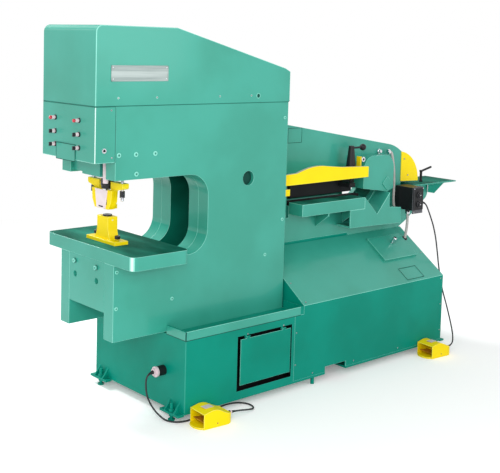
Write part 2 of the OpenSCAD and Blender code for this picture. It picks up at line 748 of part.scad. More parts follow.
// The sheet cover from its foot to a shear frame plate at distance y from the middle, drawn on the near side
module side_cover(y, top_y) difference() {
    union() {
        block([base_x + seam_x, -base_y, base_z + 14], [base_end, -base_y + sheet_t, wall_z]);
        block([cover_x, -base_y, wall_z], [base_end, -base_y + sheet_t, fold_z]);
        along_x(cover_x, base_end) slope_strip(top_y, sheet_t);
        for (x = [cover_x, base_end - sheet_t]) along_x(x, x + sheet_t)
            polygon([[-base_y, wall_z], [-base_y, fold_z], [top_y, fold_z + slope * (base_y + top_y)], [top_y, wall_z]]);
        block([cover_x, top_y - sheet_t, fold_z + slope * (base_y + top_y) - 20],
            [base_x + 1729, top_y, fold_z + slope * (base_y + top_y) + flange_h]);
    }
    block([fork_x, -base_y - eps, base_z - eps], [fork_x + fork_l, -base_y + 5, base_z + fork_h]);
}
module slope_strip(top_y, t) {
    drop = t / cos(slope_a);
    top_z = fold_z + slope * (base_y + top_y);
    polygon([[-base_y, fold_z], [top_y, top_z], [top_y, top_z - drop], [-base_y, fold_z - drop]]);
}
module power_cover() color(teal) placed() difference() {
    side_cover(-base_y, near_y0);
    for (p = side_screw_places) bar_y([p[0], -base_y - eps, p[1]], 6 + 2 * slip, sheet_t + 2 * eps);
    on_slope(hatch_x, hatch_y) translate([15, 15, -8]) cube([hatch_l - 30, hatch_run - 30, 16]);
}
module rear_cover() color(teal) placed() difference() {
    mirror([0, 1, 0]) side_cover(-base_y, -far_y1);
    for (p = side_screw_places) bar_y([p[0], base_y - 5, p[1]], 6 + 2 * slip, 6);
}

hatch_x = base_x + 1861;
hatch_y = -277;
hatch_run = hatch_w / cos(slope_a);
knob_x = hatch_l * 0.58;
knob_y = hatch_run * 0.66;

module hatch() color(teal) placed() on_slope(hatch_x, hatch_y) difference() {
    union() {
        cube([hatch_l, hatch_run, hatch_t]);
        translate([17, 17, -6]) cube([hatch_l - 34, hatch_run - 34, 6]);
    }
    translate([knob_x, knob_y, -8]) cylinder(d = 10 + 2 * run, h = hatch_t + 10);
}
module hatch_knob() color(chrome) placed() on_slope(hatch_x, hatch_y) translate([knob_x, knob_y, 0]) {
    translate([0, 0, hatch_t + slip]) cylinder(d = knob_d - 6, h = 8);
    translate([0, 0, hatch_t + slip + 8]) cylinder(d = knob_d, h = knob_l - 12);
    translate([0, 0, hatch_t + slip + knob_l - 4]) cylinder(d1 = knob_d, d2 = knob_d - 8, h = 4);
    translate([0, 0, -14]) cylinder(d = 10, h = hatch_t + slip + 14);
}
// The oil tank with its filler, and the motor lying on it with its bell housing and pump
module power_unit() color([0.25, 0.3, 0.35]) placed() {
    tank_x = fork_x + fork_l + 60;
    x = tank_x + 170;
    y = -base_y + 238;
    z = 345 + motor_d / 2;
    block([tank_x, -base_y + 40, floor_top], [tank_x + tank_l, near_y0 - 20, 320]);
    bar_z([tank_x + 50, -160, 320], 60, 30);
    bar_x([x, y, z], motor_d, 300);
    bar_x([x + 300, y, z], motor_d - 40, 60);
    bar_x([x + 360, y, z], 110, 130);
    block([x + 40, y - 80, 320], [x + 260, y + 80, z - 60]);
}

// ---------- shear ----------

// Side outline of a shear frame plate, from x
module shear_outline(x) {
    r = 330;
    line_end = shear_end - 144;
    s = atan((shear_z0 - shear_z1) / (line_end - back_x));
    c = [line_end - r * sin(s), shear_z1 - r * cos(s)];
    a_end = acos((shear_end - c[0]) / r);
    polygon(concat([[x, 1100], [x, shear_z0], [back_x, shear_z0]], arc(c, r, 90 - s, a_end, 10),
        [[shear_end, nose_z]], arc([nose_x - 14, nose_z - 14], 14, 90, 0, 4),
        arc([nose_x - 60, nose_z - 60], 60, 0, -50, 6), [[shear_end + 86, 850], [shear_end, 806],
        [shear_end, floor_top], [back_x, floor_top], [back_x, 1100]]));
}
module near_shear_plate() difference() {
    union() {
        along_y(near_y0, near_y1) shear_outline(back_x - 195);
        block([hold_x - 50, near_y0 - 132, lug_z - 30], [hold_x + 50, near_y0, lug_z]);
    }
    shear_openings(near_y0, near_y1);
    bar_z([hold_x, hold_y, lug_z - 31], screw_d + 2 * run, 40);
}
// The flat-bar slot, its relief and the angle opening through a plate from y0 to y1
module shear_openings(y0, y1) {
    block([slot_x, y0 - eps, shear_table_z - 24], [slot_x + slot_l, y1 + eps, slot_top]);
    block([slot_x, y0 - eps, shear_table_z - 102], [slot_x + 22, y1 + eps, shear_table_z]);
    along_y(y0 - eps, y1 + eps) polygon([[vee_x + 40, shear_table_z], [vee_x + 134, shear_table_z - vee_h + 30],
        [vee_x + 240, shear_table_z], [vee_x + 240, slot_top - 40], [vee_x + 40, slot_top - 40]]);
    block([fork_x, y0 - eps, base_z - eps], [fork_x + fork_l, y1 + eps, base_z + fork_h]);
}
module shear_plates() color(teal) placed() {
    near_shear_plate();
    difference() {
        along_y(far_y0, far_y1) shear_outline(back_x);
        shear_openings(far_y0, far_y1);
    }
    block([back_x + 17, near_y1, 1560], [back_x + 80, far_y0, 1600]);
    block([back_x + 17, near_y1, floor_top], [back_x + 80, far_y0, 700]);
    block([shear_end - 20, near_y1, floor_top + 40], [shear_end, far_y0, 1000]);
}

// The beam: arm on the pivot, flat blade, angle tool and notching tool in one forging
module shear_beam() color([0.25, 0.27, 0.28]) placed() difference() {
    union() {
        along_y(beam_y0, arm_y1) polygon(concat(arc([pivot_x, pivot_z], 70, 90, 270, 12),
            [[back_x + 55, 1190], [back_x + 55, 1500]]));
        along_y(beam_y0, beam_y1) polygon([[back_x + 35, 1190], [back_x + 35, 1505], [slot_x, 1530],
            [link_x, 1385], [shear_end, 1320], [shear_end + 75, 1285], [notch_x + 162, 1195],
            [notch_x + 162, notch_table_z + 60],
            [notch_x + 14, notch_table_z + 60], [notch_x - 3, 1225], [vee_x + 280, 1240], [vee_x + 252, 1230],
            [vee_x + 134, shear_table_z + 46], [vee_x + 16, 1230], [vee_x - 6, 1230],
            [vee_x - 6, shear_table_z + 48], [slot_x + 2, shear_table_z + 20], [slot_x + 2, 1190]]);
    }
    bar_y([pivot_x, beam_y0 - eps, pivot_z], pivot_d + 2 * run, beam_t + 2 * eps);
    bar_y([link_x, beam_y0 - eps, link_z], link_d + 4, beam_t + 2 * eps);
    block([link_x - 52, shear_y - 24, 1200], [link_x + 52, shear_y + 24, 1500]);
}
module pivot_pin() color(steel) placed()
    bar_y([pivot_x, -inner_y + 6, pivot_z], pivot_d, 2 * inner_y - 12);

module shear_cylinder() color(black) placed() difference() {
    union() {
        bar_z([link_x, shear_y, 560], cylinder_d, 440);
        block([link_x - 60, near_y1, 520], [link_x + 60, far_y0, 560]);
    }
    bar_z([link_x, shear_y, 600], rod_d + 2 * run, 500);
    bar_z([link_x, shear_y, 600], cylinder_d - 30, 340);
}
// The rod with its eye and the pin that turns in the beam
module cylinder_rod() color(chrome) placed() {
    bar_z([link_x, shear_y, 800], rod_d, link_z - 920);
    bar_z([link_x, shear_y, 780], cylinder_d - 30 - 2 * run, 40);
    block([link_x - 30, shear_y - 22, link_z - 120], [link_x + 30, shear_y + 22, link_z + 40]);
    bar_y([link_x, beam_y0 + 1, link_z], link_d, beam_t - 2);
}

// The fixed blade on the flat-bar slot's sill
module lower_blade() color(steel) placed()
    block([slot_x + 24, near_y0 + 6, shear_table_z - 24], [slot_x + slot_l - 2, beam_y0 - slip, shear_table_z + 4]);

// The table in front of the flat-bar slot: top, front plate, end plate and gussets
module shear_table() color(teal) placed() {
    y0 = near_y0 - shear_table_w;
    block([table_x, y0, shear_table_z - 12], [vee_x, near_y0, shear_table_z]);
    block([table_x, y0, shear_table_z - apron_h], [vee_x, y0 + 12, shear_table_z - 12]);
    block([table_x, y0 + 12, shear_table_z - apron_h], [table_x + 12, near_y0, shear_table_z - 12]);
    for (x = [table_x + 255, table_x + 518]) along_x(x, x + 12)
        polygon([[y0 + 12, shear_table_z - 12], [y0 + 12, shear_table_z - apron_h - 20],
            [near_y0, block_z + 14], [near_y0, shear_table_z - 12]]);
    block([table_x, far_y1, shear_table_z - 12], [vee_x, far_y1 + rear_ledge_w, shear_table_z]);
    for (x = [table_x + 60, vee_x - 72]) along_x(x, x + 12)
        polygon([[far_y1, shear_table_z - 12], [far_y1, shear_table_z - 12 - rear_ledge_w],
            [far_y1 + rear_ledge_w - 10, shear_table_z - 12]]);
}

// The angle block: front plate with its right-angled notch, and the two flanks behind it
module angle_block() color(teal) placed() {
    y0 = near_y0 - shear_table_w;
    low = [vee_x + 134, shear_table_z - vee_h];
    along_y(y0, y0 + 12) polygon([[vee_x - 144, block_z], [vee_x - 144, shear_table_z - apron_h],
        [vee_x, shear_table_z - apron_h], [vee_x, shear_table_z], low, [vee_x + 263, shear_table_z + 14],
        [vee_x + 263, shear_table_z - 90], [vee_x + 390, shear_table_z - 104], [vee_x + 390, block_z - 14]]);
    along_y(y0 + 12, near_y0) polygon([[vee_x, shear_table_z], low, low - [0, 17], [vee_x, shear_table_z - 17]]);
    along_y(y0 + 12, near_y0) polygon([low, [vee_x + 263, shear_table_z + 14], [vee_x + 263, shear_table_z - 3],
        low - [0, 17]]);
    along_y(y0 + 12, near_y0) polygon([[vee_x - 144, block_z], [vee_x + 390, block_z - 14],
        [vee_x + 390, block_z - 2], [vee_x - 144, block_z + 12]]);
    along_y(y0 + 12, near_y0) polygon([[vee_x + 378, block_z - 8], [vee_x + 390, block_z - 8],
        [vee_x + 390, shear_table_z - 107], [vee_x + 378, shear_table_z - 107]]);
}

// The round-shouldered guard over the angle tool, with a raised square set on its corner
module angle_guard() color(teal) placed() {
    x0 = vee_x + 22;
    z0 = shear_table_z + 52;
    y0 = near_y0 - arch_d;
    r = 96;
    difference() {
        along_y(y0, near_y0) arch_outline(x0, z0, r, 0);
        along_y(y0 + sheet_t + 1, near_y0 + eps) arch_outline(x0, z0, r, sheet_t + 1);
    }
    translate([x0 + 246, y0, z0 + 22]) rotate([90, 45, 0]) translate([-36, -36, 0]) cube([72, 72, 8]);
}
module arch_outline(x0, z0, r, t) polygon(concat([[x0 + t, z0 - (t > 0 ? 60 : 0)], [x0 + t, z0 + arch_h - r]],
    arc([x0 + r, z0 + arch_h - r], r - t, 180, 90, 8), arc([x0 + arch_w - r, z0 + arch_h - r], r - t, 90, 0, 8),
    [[x0 + arch_w - t, z0 - (t > 0 ? 60 : 18)]], t > 0 ? [] : [[x0 + arch_w - 62, z0 - 38]]));

// The hold-down: bar in the slot, lug and screw stem
module hold_down_foot() color(black) placed() {
    block([slot_x + 30, near_y0 + 2, shear_table_z + 28], [vee_x - 4, near_y1 - 2, slot_top - 4]);
    block([hold_x - 28, hold_y - 20, slot_top - 40], [hold_x + 28, near_y0 + 2, slot_top - 10]);
    bar_z([hold_x, hold_y, slot_top - 10], screw_d, lug_z - slot_top + 90);
}
module hold_down_lever() color(black) placed() {
    difference() {
        translate([hold_x, hold_y, lug_z + slip]) cylinder(d1 = 74, d2 = 36, h = 170);
        bar_z([hold_x, hold_y, lug_z - eps], screw_d + 2 * run, 100);
    }
    bar_x([hold_x + 10, hold_y, lug_z + 156], 14, 96);
    translate([hold_x + 116, hold_y, lug_z + 156]) sphere(d = ball_d);
}

// The humped bar in front of the slot, with its brackets to the frame
module guard_bar() color(yellow) placed() {
    x0 = back_x + 25;
    x1 = x0 + bar_l;
    y0 = near_y0 - bar_off;
    z0 = slot_top + 33;
    along_y(y0, y0 + bar_t) polygon(concat([[x0, z0 - 4], [x1, z0], [x1, z0 + bar_h], [x1 - 264, z0 + bar_h + 12]],
        [for (i = [0 : 10]) let (a = i / 10) [x1 - 400 - 280 * a, z0 + bar_h + bar_hump * sin(45 + 115 * a) - 2 - 14 * a]],
        [[x0, z0 + bar_h - 8]]));
    block([x0, y0 + bar_t, z0 + 6], [x0 + 25, near_y0, z0 + 50]);
    block([x1 - 40, y0 + bar_t, z0 + 10], [x1 - 32, near_y0, z0 + bar_h]);
    block([x1 - 40, y0 + 40, z0 + bar_h], [x1 - 32, y0 + 80, z0 + bar_h + 66]);
    block([x0 + 46, y0 + 10, z0 - 72], [x0 + 90, y0 + 16, z0 - 30]);
    block([x0 + 46, y0 + 16, z0 - 36], [x0 + 90, near_y0, z0 - 30]);
}

// ---------- notcher ----------

module notcher_table() color(teal) placed() difference() {
    union() {
        block([notch_x, near_y0 - 42, nose_z], [notch_x + notch_table_l, near_y0 - 42 + notch_table_w, notch_table_z]);
        along_y(near_y0 - 24, near_y0 - 16) polygon([[nose_x - 20, nose_z], [nose_x + 174, nose_z],
            [nose_x + 54, nose_z - 74], [nose_x - 20, nose_z - 61]]);
        block([notch_x + 180, near_y1, nose_z - 40], [notch_x + 250, far_y0, nose_z]);
    }
    block([notch_x - eps, beam_y0 - 4, nose_z - 41], [notch_x + 169, beam_y1 + 4, notch_table_z + eps]);
    // room for the control box at the table's near corner
    block([notch_x - eps, near_y0 - 43, nose_z - eps], [box_x + box_d + 1, box_y + box_w + 1, notch_table_z + eps]);
    bar_z([notch_x + 300, 20, nose_z - eps], 8 + 2 * run, notch_table_t + 2 * eps);
}
// The quarter-round housing over the notching tool
module notcher_guard() color(yellow) placed() {
    y0 = near_y0 - 6;
    y1 = far_y1 + 6;
    difference() {
        along_y(y0, y1) guard_outline(0);
        along_y(y0 + 6, y1 - 6) guard_outline(4);
        block([shear_end - 10, near_y0, notch_table_z], [shear_end, far_y1, 1500]);
    }
}
module guard_outline(t) {
    x0 = shear_end - 6;
    z0 = notch_table_z + notch_clear;
    c = [shear_end + 193 - notch_r, z0 - 9];
    polygon(concat([[x0 - (t > 0 ? 1 : 0), z0 - (t > 0 ? 1 : 0)]], arc(c, notch_r - t, 0, acos((x0 - c[0]) / notch_r), 12)));
}
// The clamp lever on the notcher table
module fence_lever() color(black) placed() {
    x = notch_x + 300;
    bar_z([x, 20, notch_table_z + slip], 26, 14);
    bar_z([x, 20, notch_table_z + slip + 14], 20, 62);
    bar_z([x, 20, notch_table_z + slip + 76], 26, 12);
    translate([x, 20, notch_table_z + slip + 80]) rotate([0, 78, 0]) cylinder(d = 16, h = 120);
    bar_z([x, 20, notch_table_z - notch_table_t], 8, notch_table_t + slip);
}

// ---------- control box, conduits and pedals ----------

box_x = shear_end - 84;
box_y = near_y0 - 25 - box_w;
box_z = notch_table_z - 153;
module control_box() color(black) placed() {
    block([box_x, box_y, box_z], [box_x + box_d, box_y + box_w, box_z + box_h]);
    block([box_x + 8, box_y - 6, box_z + 4], [box_x + box_d - 4, box_y, box_z + box_h - 4]);
    block([box_x + 20, box_y + box_w, box_z + 40], [box_x + 80, near_y0, box_z + 120]);
    bar_z([box_x + 40, box_y + 76, box_z - 22], 34, 22);
}
module box_sockets() color(chrome) placed()
    for (z = [44, 111]) {
        bar_y([box_x + 62, box_y - 16, box_z + z], 48, 10);
        bar_y([box_x + 62, box_y - 22, box_z + z], 34, 6);
    }

// A round tube through a list of points
function unit(v) = v / norm(v);
function tangent(p, i) = unit(p[min(i + 1, len(p) - 1)] - p[max(i - 1, 0)]);
function side_of(t) = unit(cross(t, abs(t[2]) > 0.9 ? [1, 0, 0] : [0, 0, 1]));
function carried(s, t) = unit(s - t * (s * t));
function sides_along(p, i = 0, s = undef) = i >= len(p) ? [] : let (t = tangent(p, i),
    here = s == undef ? side_of(t) : carried(s, t)) concat([here], sides_along(p, i + 1, here));
function bezier(a, b, c, d, t) = a * pow(1 - t, 3) + b * 3 * t * pow(1 - t, 2) + c * 3 * t * t * (1 - t) + d * pow(t, 3);
function smooth(p, n) = concat([for (i = [0 : len(p) - 2]) let (a = p[i], d = p[i + 1],
    before = p[max(i - 1, 0)], after = p[min(i + 2, len(p) - 1)]) for (k = [0 : n - 1])
    bezier(a, a + (d - before) / 6, d - (after - a) / 6, d, k / n)], [p[len(p) - 1]]);
module tube(route, d, sides) {
    r = d / 2;
    s = sides_along(route);
    n = len(route);
    points = [for (i = [0 : n - 1]) let (t = tangent(route, i), u = s[i], v = cross(t, u))
        for (k = [0 : sides - 1]) route[i] + r * (u * cos(360 * k / sides) + v * sin(360 * k / sides))];
    walls = [for (i = [0 : n - 2], k = [0 : sides - 1]) let (m = (k + 1) % sides)
        [i * sides + k, i * sides + m, (i + 1) * sides + m, (i + 1) * sides + k]];
    ends = [[for (k = [0 : sides - 1]) sides - 1 - k], [for (k = [0 : sides - 1]) (n - 1) * sides + k]];
    polyhedron(points, [for (f = concat(walls, ends)) [for (k = [len(f) - 1 : -1 : 0]) f[k]]]);
}
conduit_route = [[box_x - 107, near_y0 - 36, 1371], [box_x - 78, near_y0 - 38, 1362], [box_x - 60, near_y0 - 38, 1316],
    [box_x - 42, near_y0 - 38, 1227], [box_x - 36, near_y0 - 38, 1117], [box_x - 34, near_y0 - 38, 1007],
    [box_x - 18, near_y0 - 37, 960], [box_x + 20, near_y0 - 33, 920], [box_x + 30, near_y0 - 18, 908],
    [box_x + 32, near_y0 - 2, 905]];
lower_conduit_route = [[box_x + 40, box_y + 76, box_z - 23], [box_x + 42, box_y + 76, box_z - 90],
    [box_x + 38, box_y + 78, box_z - 150], [box_x + 25, box_y + 80, box_z - 212]];
module conduits() color(steel) placed() {
    tube(smooth(conduit_route, 4), conduit_d, 10);
    tube(smooth(lower_conduit_route, 4), conduit_d, 10);
    bar_y([link_x - 120, near_y0 - 30, 1377], 34, 30);
    block([link_x - 58, near_y0 - 40, 1346], [link_x - 7, near_y0, 1396]);
}

// Side outline of a foot pedal's guard, inset by t at its roof
module pedal_outline(t) {
    polygon(concat([[0, 0], [0, pedal_h - 13 - t], [56, pedal_h - t]],
        [for (i = [0 : 8]) let (a = i / 8) [74 + (pedal_l - 90) * a, pedal_h - t - (pedal_h - 60) * (1 - cos(180 * a)) / 2]],
        t > 0 ? [] : [[pedal_l, 44], [pedal_l, 0]]));
}
module pedal_guard() difference() {
    union() {
        intersection() {
            along_y(-pedal_w / 2, pedal_w / 2) pedal_outline(0);
            linear_extrude(pedal_h) polygon(concat([[0, -pedal_w / 2], [pedal_l - 50, -pedal_w / 2]],
                arc([pedal_l - 50, -pedal_w / 2 + 50], 50, -90, 0, 6), arc([pedal_l - 50, pedal_w / 2 - 50], 50, 0, 90, 6),
                [[0, pedal_w / 2]]));
        }
        linear_extrude(10) polygon(arc([0, 0], pedal_w / 2 - 12, 90, 270, 12) * [[0.55, 0], [0, 1]]);
    }
    translate([0, 0, 10]) along_y(-pedal_w / 2 + pedal_t, pedal_w / 2 - pedal_t)
        polygon([[-eps, 0], [-eps, pedal_h - 13 - 10 - pedal_t], [56, pedal_h - 10 - pedal_t], [80, pedal_h - 12 - pedal_t],
            [104, pedal_h - 22 - pedal_t], [104, 0]]);
    bar_y([92, -pedal_w / 2 - eps, treadle_z], 8 + 2 * run, pedal_w + 2 * eps);
}
module at_pedal(p) translate([p[0], p[1], 0]) rotate([0, 0, p[2]]) children();
module pedal_guard_1() color(yellow) at_pedal(pedal_1_at) pedal_guard();
module pedal_guard_2() color(yellow) at_pedal(pedal_2_at) pedal_guard();
// The foot plate and the pin that it rocks on
module treadle() {
    translate([92, 0, treadle_z]) rotate([0, 8, 0]) translate([-80, -pedal_w / 2 + 14, -2]) cube([80, pedal_w - 28, 5]);
    bar_y([92, -pedal_w / 2, treadle_z], 8, pedal_w);
}
module treadle_1() color(black) at_pedal(pedal_1_at) treadle();
module treadle_2() color(black) at_pedal(pedal_2_at) treadle();

// The plug on the base's end, the box's gland and the pedals' rear glands
module cord_inlet() color(black) {
    placed() {
        bar_x([base_x - 63, -250, 254], 58, 63);
        bar_x([base_x - 75, -250, 254], 40, 12);
        bar_x([box_x + box_d, -200, box_z + 46], 26, 21);
    }
    for (p = [pedal_1_at, pedal_2_at]) at_pedal(p) bar_x([pedal_l, 0, 35], 20, 18);
}
module cord_1() color(black) tube(smooth(cord_1_route, 2), cord_d, cord_sides);
module cord_2() color(black) tube(smooth(cord_2_route, 2), cord_d, cord_sides);

// ---------- fasteners ----------

// A cap-head bolt on the near side of a plate at y, its shank in the plate
module side_bolt(x, y, z, head, reach) {
    bar_y([x, y - 3, z], head, 3);
    bar_y([x, y, z], head * 0.55, reach);
}
module fasteners() color(steel) placed() {
    for (p = frame_bolt_places) side_bolt(p[0], -hw, p[1], p[2], 26);
    for (p = hood_screw_places) {
        bar_y([p[0], -hw - mark_h, p[1]], 2 * mark_r, mark_h);
        bar_y([p[0], -hw, p[1]], 6, 16);
        bar_y([p[0], hw, p[1]], 2 * mark_r, mark_h);
        bar_y([p[0], hw - 16, p[1]], 6, 16);
    }
    for (y = [-stud_gap / 2, stud_gap / 2]) stripper_stud(y);
    for (y = jaw_bolt_y) {
        bar_x([face_x - 14, y, jaw_top - 40], 24, 14);
        bar_x([face_x, y, jaw_top - 40], 14, jaw_plate_t / 2);
    }
    for (y = [-foot_bolt_gap / 2, foot_bolt_gap / 2]) {
        bar_z([punch_x, y, table_z + foot_t], 32, 28);
        bar_z([punch_x, y, table_z - 38], 20, foot_t + 38);
    }
    bar_y([punch_x, -post_y / 2 + 1, table_z + post_h - 18], 8, 16);
    for (p = side_screw_places) {
        bar_y([p[0], -base_y - mark_h, p[1]], 2 * mark_r, mark_h);
        bar_y([p[0], -base_y, p[1]], 6, base_t - 5);
        bar_y([p[0], base_y, p[1]], 2 * mark_r, mark_h);
        bar_y([p[0], base_y - base_t + 5, p[1]], 6, base_t - 5);
    }
    for (p = slope_screw_places) on_slope(p[0], p[1]) cylinder(r = mark_r, h = mark_h);
    for (x = slug_knuckle_x) bar_y([x, -base_y - mark_h, slug_z + slug_h + 5], 2 * mark_r, mark_h);
    for (p = [[99, -20], [106, -273]]) bar_y([p[0], -hw - mark_h, head_top + p[1]], 2 * mark_r, mark_h);
    // thumb screw beside the guard bar's tab
    bar_y([slot_x + 647, near_y0 - 84, slot_top + 143], 36, 22);
    bar_y([slot_x + 647, near_y0 - 62, slot_top + 143], 14, 62);
    for (p = [[24, -58], [70, -180]]) bar_y([shear_end + p[0], near_y0 - 10, 1363 + p[1]], 12, 4);
}

outer_plates();
inner_frame();
jaw_front_plate();
punch_table();
hood_cover();
nameplate();
front_cover();
access_panel();
control_bezels();
start_button();
stop_button();
selector_1();
selector_2();
selector_3();
selector_4();
side_latch();
punch_cylinder();
ram_gland();
ram();
coupling_nut();
punch();
stripper();
stripper_guard();
stripper_nuts();
die_holder();
die();
base_frame();
slug_door();
levelling_bolts();
power_cover();
rear_cover();
hatch();
hatch_knob();
power_unit();
shear_plates();
shear_beam();
pivot_pin();
shear_cylinder();
cylinder_rod();
lower_blade();
shear_table();
angle_block();
angle_guard();
hold_down_foot();
hold_down_lever();
guard_bar();
notcher_table();
notcher_guard();
fence_lever();
control_box();
box_sockets();
conduits();
pedal_guard_1();
pedal_guard_2();
treadle_1();
treadle_2();
cord_inlet();
cord_1();
cord_2();
fasteners();
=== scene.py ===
"""The finished look of a hydraulic ironworker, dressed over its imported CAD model.

Everything is in metres in the model's own frame: X runs from the punch end to the notcher end,
Y from the working side to the rear, and Z up from the floor.
"""

import json
import logging
import math
from dataclasses import dataclass
from enum import Enum

import bmesh
import bpy
from mathutils import Matrix, Vector


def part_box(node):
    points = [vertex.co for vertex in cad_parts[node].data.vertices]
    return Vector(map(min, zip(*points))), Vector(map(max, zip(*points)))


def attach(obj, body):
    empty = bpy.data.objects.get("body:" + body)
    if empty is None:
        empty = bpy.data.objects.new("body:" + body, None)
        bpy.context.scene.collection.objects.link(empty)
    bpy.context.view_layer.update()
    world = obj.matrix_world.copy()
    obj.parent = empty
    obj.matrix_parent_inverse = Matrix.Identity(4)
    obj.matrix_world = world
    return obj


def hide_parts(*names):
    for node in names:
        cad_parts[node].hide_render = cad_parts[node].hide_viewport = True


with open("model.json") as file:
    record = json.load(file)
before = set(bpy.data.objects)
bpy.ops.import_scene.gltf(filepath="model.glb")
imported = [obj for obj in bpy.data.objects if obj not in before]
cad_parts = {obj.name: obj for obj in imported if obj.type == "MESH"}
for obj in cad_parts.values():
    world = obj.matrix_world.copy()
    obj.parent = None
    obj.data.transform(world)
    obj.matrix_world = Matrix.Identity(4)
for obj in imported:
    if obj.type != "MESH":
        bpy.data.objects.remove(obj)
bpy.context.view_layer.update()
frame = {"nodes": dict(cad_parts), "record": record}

log = logging.getLogger("ironworker")

MM = 0.001
# The body that stands still
FRAME = "frame"
# Corners of a CAD node that are nearer than this, in metres, are one corner
WELD = 2e-5
# The same for a turned piece, whose seam closes more exactly
LATHE_WELD = 1e-6
# Neighbouring faces whose headings differ by less than this, in degrees, are one face
FLAT = 0.6
# Edges that turn by more than this, in degrees, are rounded off
CREASE = 32.0
# A face whose normal has more than this share along an axis lies square to it
SQUARE = 0.99
# How far the levelling brackets stand out in front of the base, in millimetres
BRACKET = 43.0


# ---------- camera, light and floor ----------


@dataclass(frozen=True)
class Lamp:
    """A square soft lamp: where it hangs, the point that it faces, its side and its power in watts."""

    name: str
    place: tuple[float, float, float]
    aim: tuple[float, float, float]
    size: float
    power: float

    def hang(self) -> bpy.types.Object:
        """Adds the lamp.

        Returns:
            The lamp's object.
        """
        data = bpy.data.lights.new(self.name, "AREA")
        data.size = self.size
        data.energy = self.power
        made = bpy.data.objects.new(self.name, data)
        made.location = self.place
        made.rotation_euler = (Vector(self.aim) - Vector(self.place)).to_track_quat("-Z", "Y").to_euler()
        bpy.context.scene.collection.objects.link(made)
        return made


LAMPS = (
    Lamp("key", place=(-5.2, -4.0, 3.6), aim=(0.0, 0.0, 1.1), size=3.0, power=138.0),
    Lamp("side", place=(1.8, -6.0, 3.0), aim=(0.3, 0.0, 1.0), size=3.0, power=70.0),
    Lamp("rear", place=(-1.5, 4.8, 5.0), aim=(0.0, 0.0, 1.2), size=2.0, power=320.0),
    Lamp("front", place=(-4.6, -4.9, 2.7), aim=(-1.0, 0.0, 1.2), size=0.4, power=45.0),
)


@dataclass(frozen=True)
class Studio:
    """The camera, the even light and the pale floor round the machine."""

    eye: tuple[float, float, float] = (-4.4375, -4.5715, 2.1142)
    yaw: float = 0.7287
    pitch: float = -0.0849
    roll: float = 0.0275
    lens: float = 69.94
    shift: float = -0.22
    farthest: float = 100.0
    white: str = "FFFFFF"
    off_white: str = "FAFAFA"
    floor_radius: float = 30.0
    floor_drop: float = 0.001
    fade_start: float = 2.6
    fade_end: float = 5.5
    sky: float = 0.6
    floor_glow: float = 0.22

    def camera(self) -> bpy.types.Object:
        """Adds the camera and makes it the scene's.

        Returns:
            The camera object.
        """
        data = bpy.data.cameras.new("camera")
        data.lens = self.lens
        data.shift_y = self.shift
        data.clip_end = self.farthest
        made = bpy.data.objects.new("camera", data)
        turn = (
            Matrix.Rotation(-self.yaw, 4, "Z")
            @ Matrix.Rotation(math.radians(90) + self.pitch, 4, "X")
            @ Matrix.Rotation(self.roll, 4, "Z")
        )
        made.matrix_world = Matrix.Translation(self.eye) @ turn
        bpy.context.scene.collection.objects.link(made)
        bpy.context.scene.camera = made
        return made

    def sky_light(self) -> None:
        """Lights the scene evenly, and shows white to the camera, to gloss and through glass."""
        world = bpy.data.worlds.new("studio")
        world.use_nodes = True
        bpy.context.scene.world = world
        tree = world.node_tree
        tree.nodes.clear()
        path = add_node(tree, "ShaderNodeLightPath")
        seen = add_node(tree, "ShaderNodeMath", {"operation": "MAXIMUM"},
                        {0: path.outputs["Is Camera Ray"], 1: path.outputs["Is Glossy Ray"]})
        clear = add_node(tree, "ShaderNodeMath", {"operation": "MAXIMUM"},
                         {0: seen.outputs[0], 1: path.outputs["Is Transmission Ray"]})
        light = add_node(tree, "ShaderNodeBackground", {},
                         {"Color": linear(self.white), "Strength": self.sky})
        white = add_node(tree, "ShaderNodeBackground", {}, {"Color": linear(self.white), "Strength": 1.0})
        both = add_node(tree, "ShaderNodeMixShader", {},
                        {0: clear.outputs[0], 1: light.outputs[0], 2: white.outputs[0]})
        add_node(tree, "ShaderNodeOutputWorld", {}, {"Surface": both.outputs[0]})

    def floor(self) -> bpy.types.Object:
        """Lays the pale floor, whose far part fades into the white behind it.

        Returns:
            The floor's object.
        """
        made = bmesh.new()
        bmesh.ops.create_circle(made, cap_ends=True, segments=64, radius=self.floor_radius)
        mesh = bpy.data.meshes.new("floor")
        made.to_mesh(mesh)
        made.free()
        floor = bpy.data.objects.new("floor", mesh)
        floor.location.z = -self.floor_drop
        bpy.context.scene.collection.objects.link(floor)
        surface = bpy.data.materials.new("pale_floor")
        surface.use_nodes = True
        tree = surface.node_tree
        tree.nodes.clear()
        place = add_node(tree, "ShaderNodeTexCoord")
        away = add_node(tree, "ShaderNodeVectorMath", {"operation": "LENGTH"}, {0: place.outputs["Object"]})
        fade = add_node(tree, "ShaderNodeMapRange", {"interpolation_type": "SMOOTHSTEP"},
                        {"Value": away.outputs["Value"], "From Min": self.fade_start,
                         "From Max": self.fade_end})
        lit = add_node(tree, "ShaderNodeBsdfDiffuse", {}, {"Color": linear(self.off_white)})
        path = add_node(tree, "ShaderNodeLightPath").outputs["Is Camera Ray"]
        glow = add_node(tree, "ShaderNodeMath", {"operation": "MULTIPLY"}, {0: path, 1: self.floor_glow})
        haze = add_node(tree, "ShaderNodeEmission", {},
                        {"Color": linear(self.white), "Strength": glow.outputs[0]})
        pale = add_node(tree, "ShaderNodeAddShader", {}, {0: lit.outputs[0], 1: haze.outputs[0]})
        white = add_node(tree, "ShaderNodeEmission", {}, {"Color": linear(self.white), "Strength": 1.0})
        both = add_node(tree, "ShaderNodeMixShader", {},
                        {0: fade.outputs[0], 1: pale.outputs[0], 2: white.outputs[0]})
        add_node(tree, "ShaderNodeOutputMaterial", {}, {"Surface": both.outputs[0]})
        mesh.materials.append(surface)
        return floor


# ---------- finishes ----------


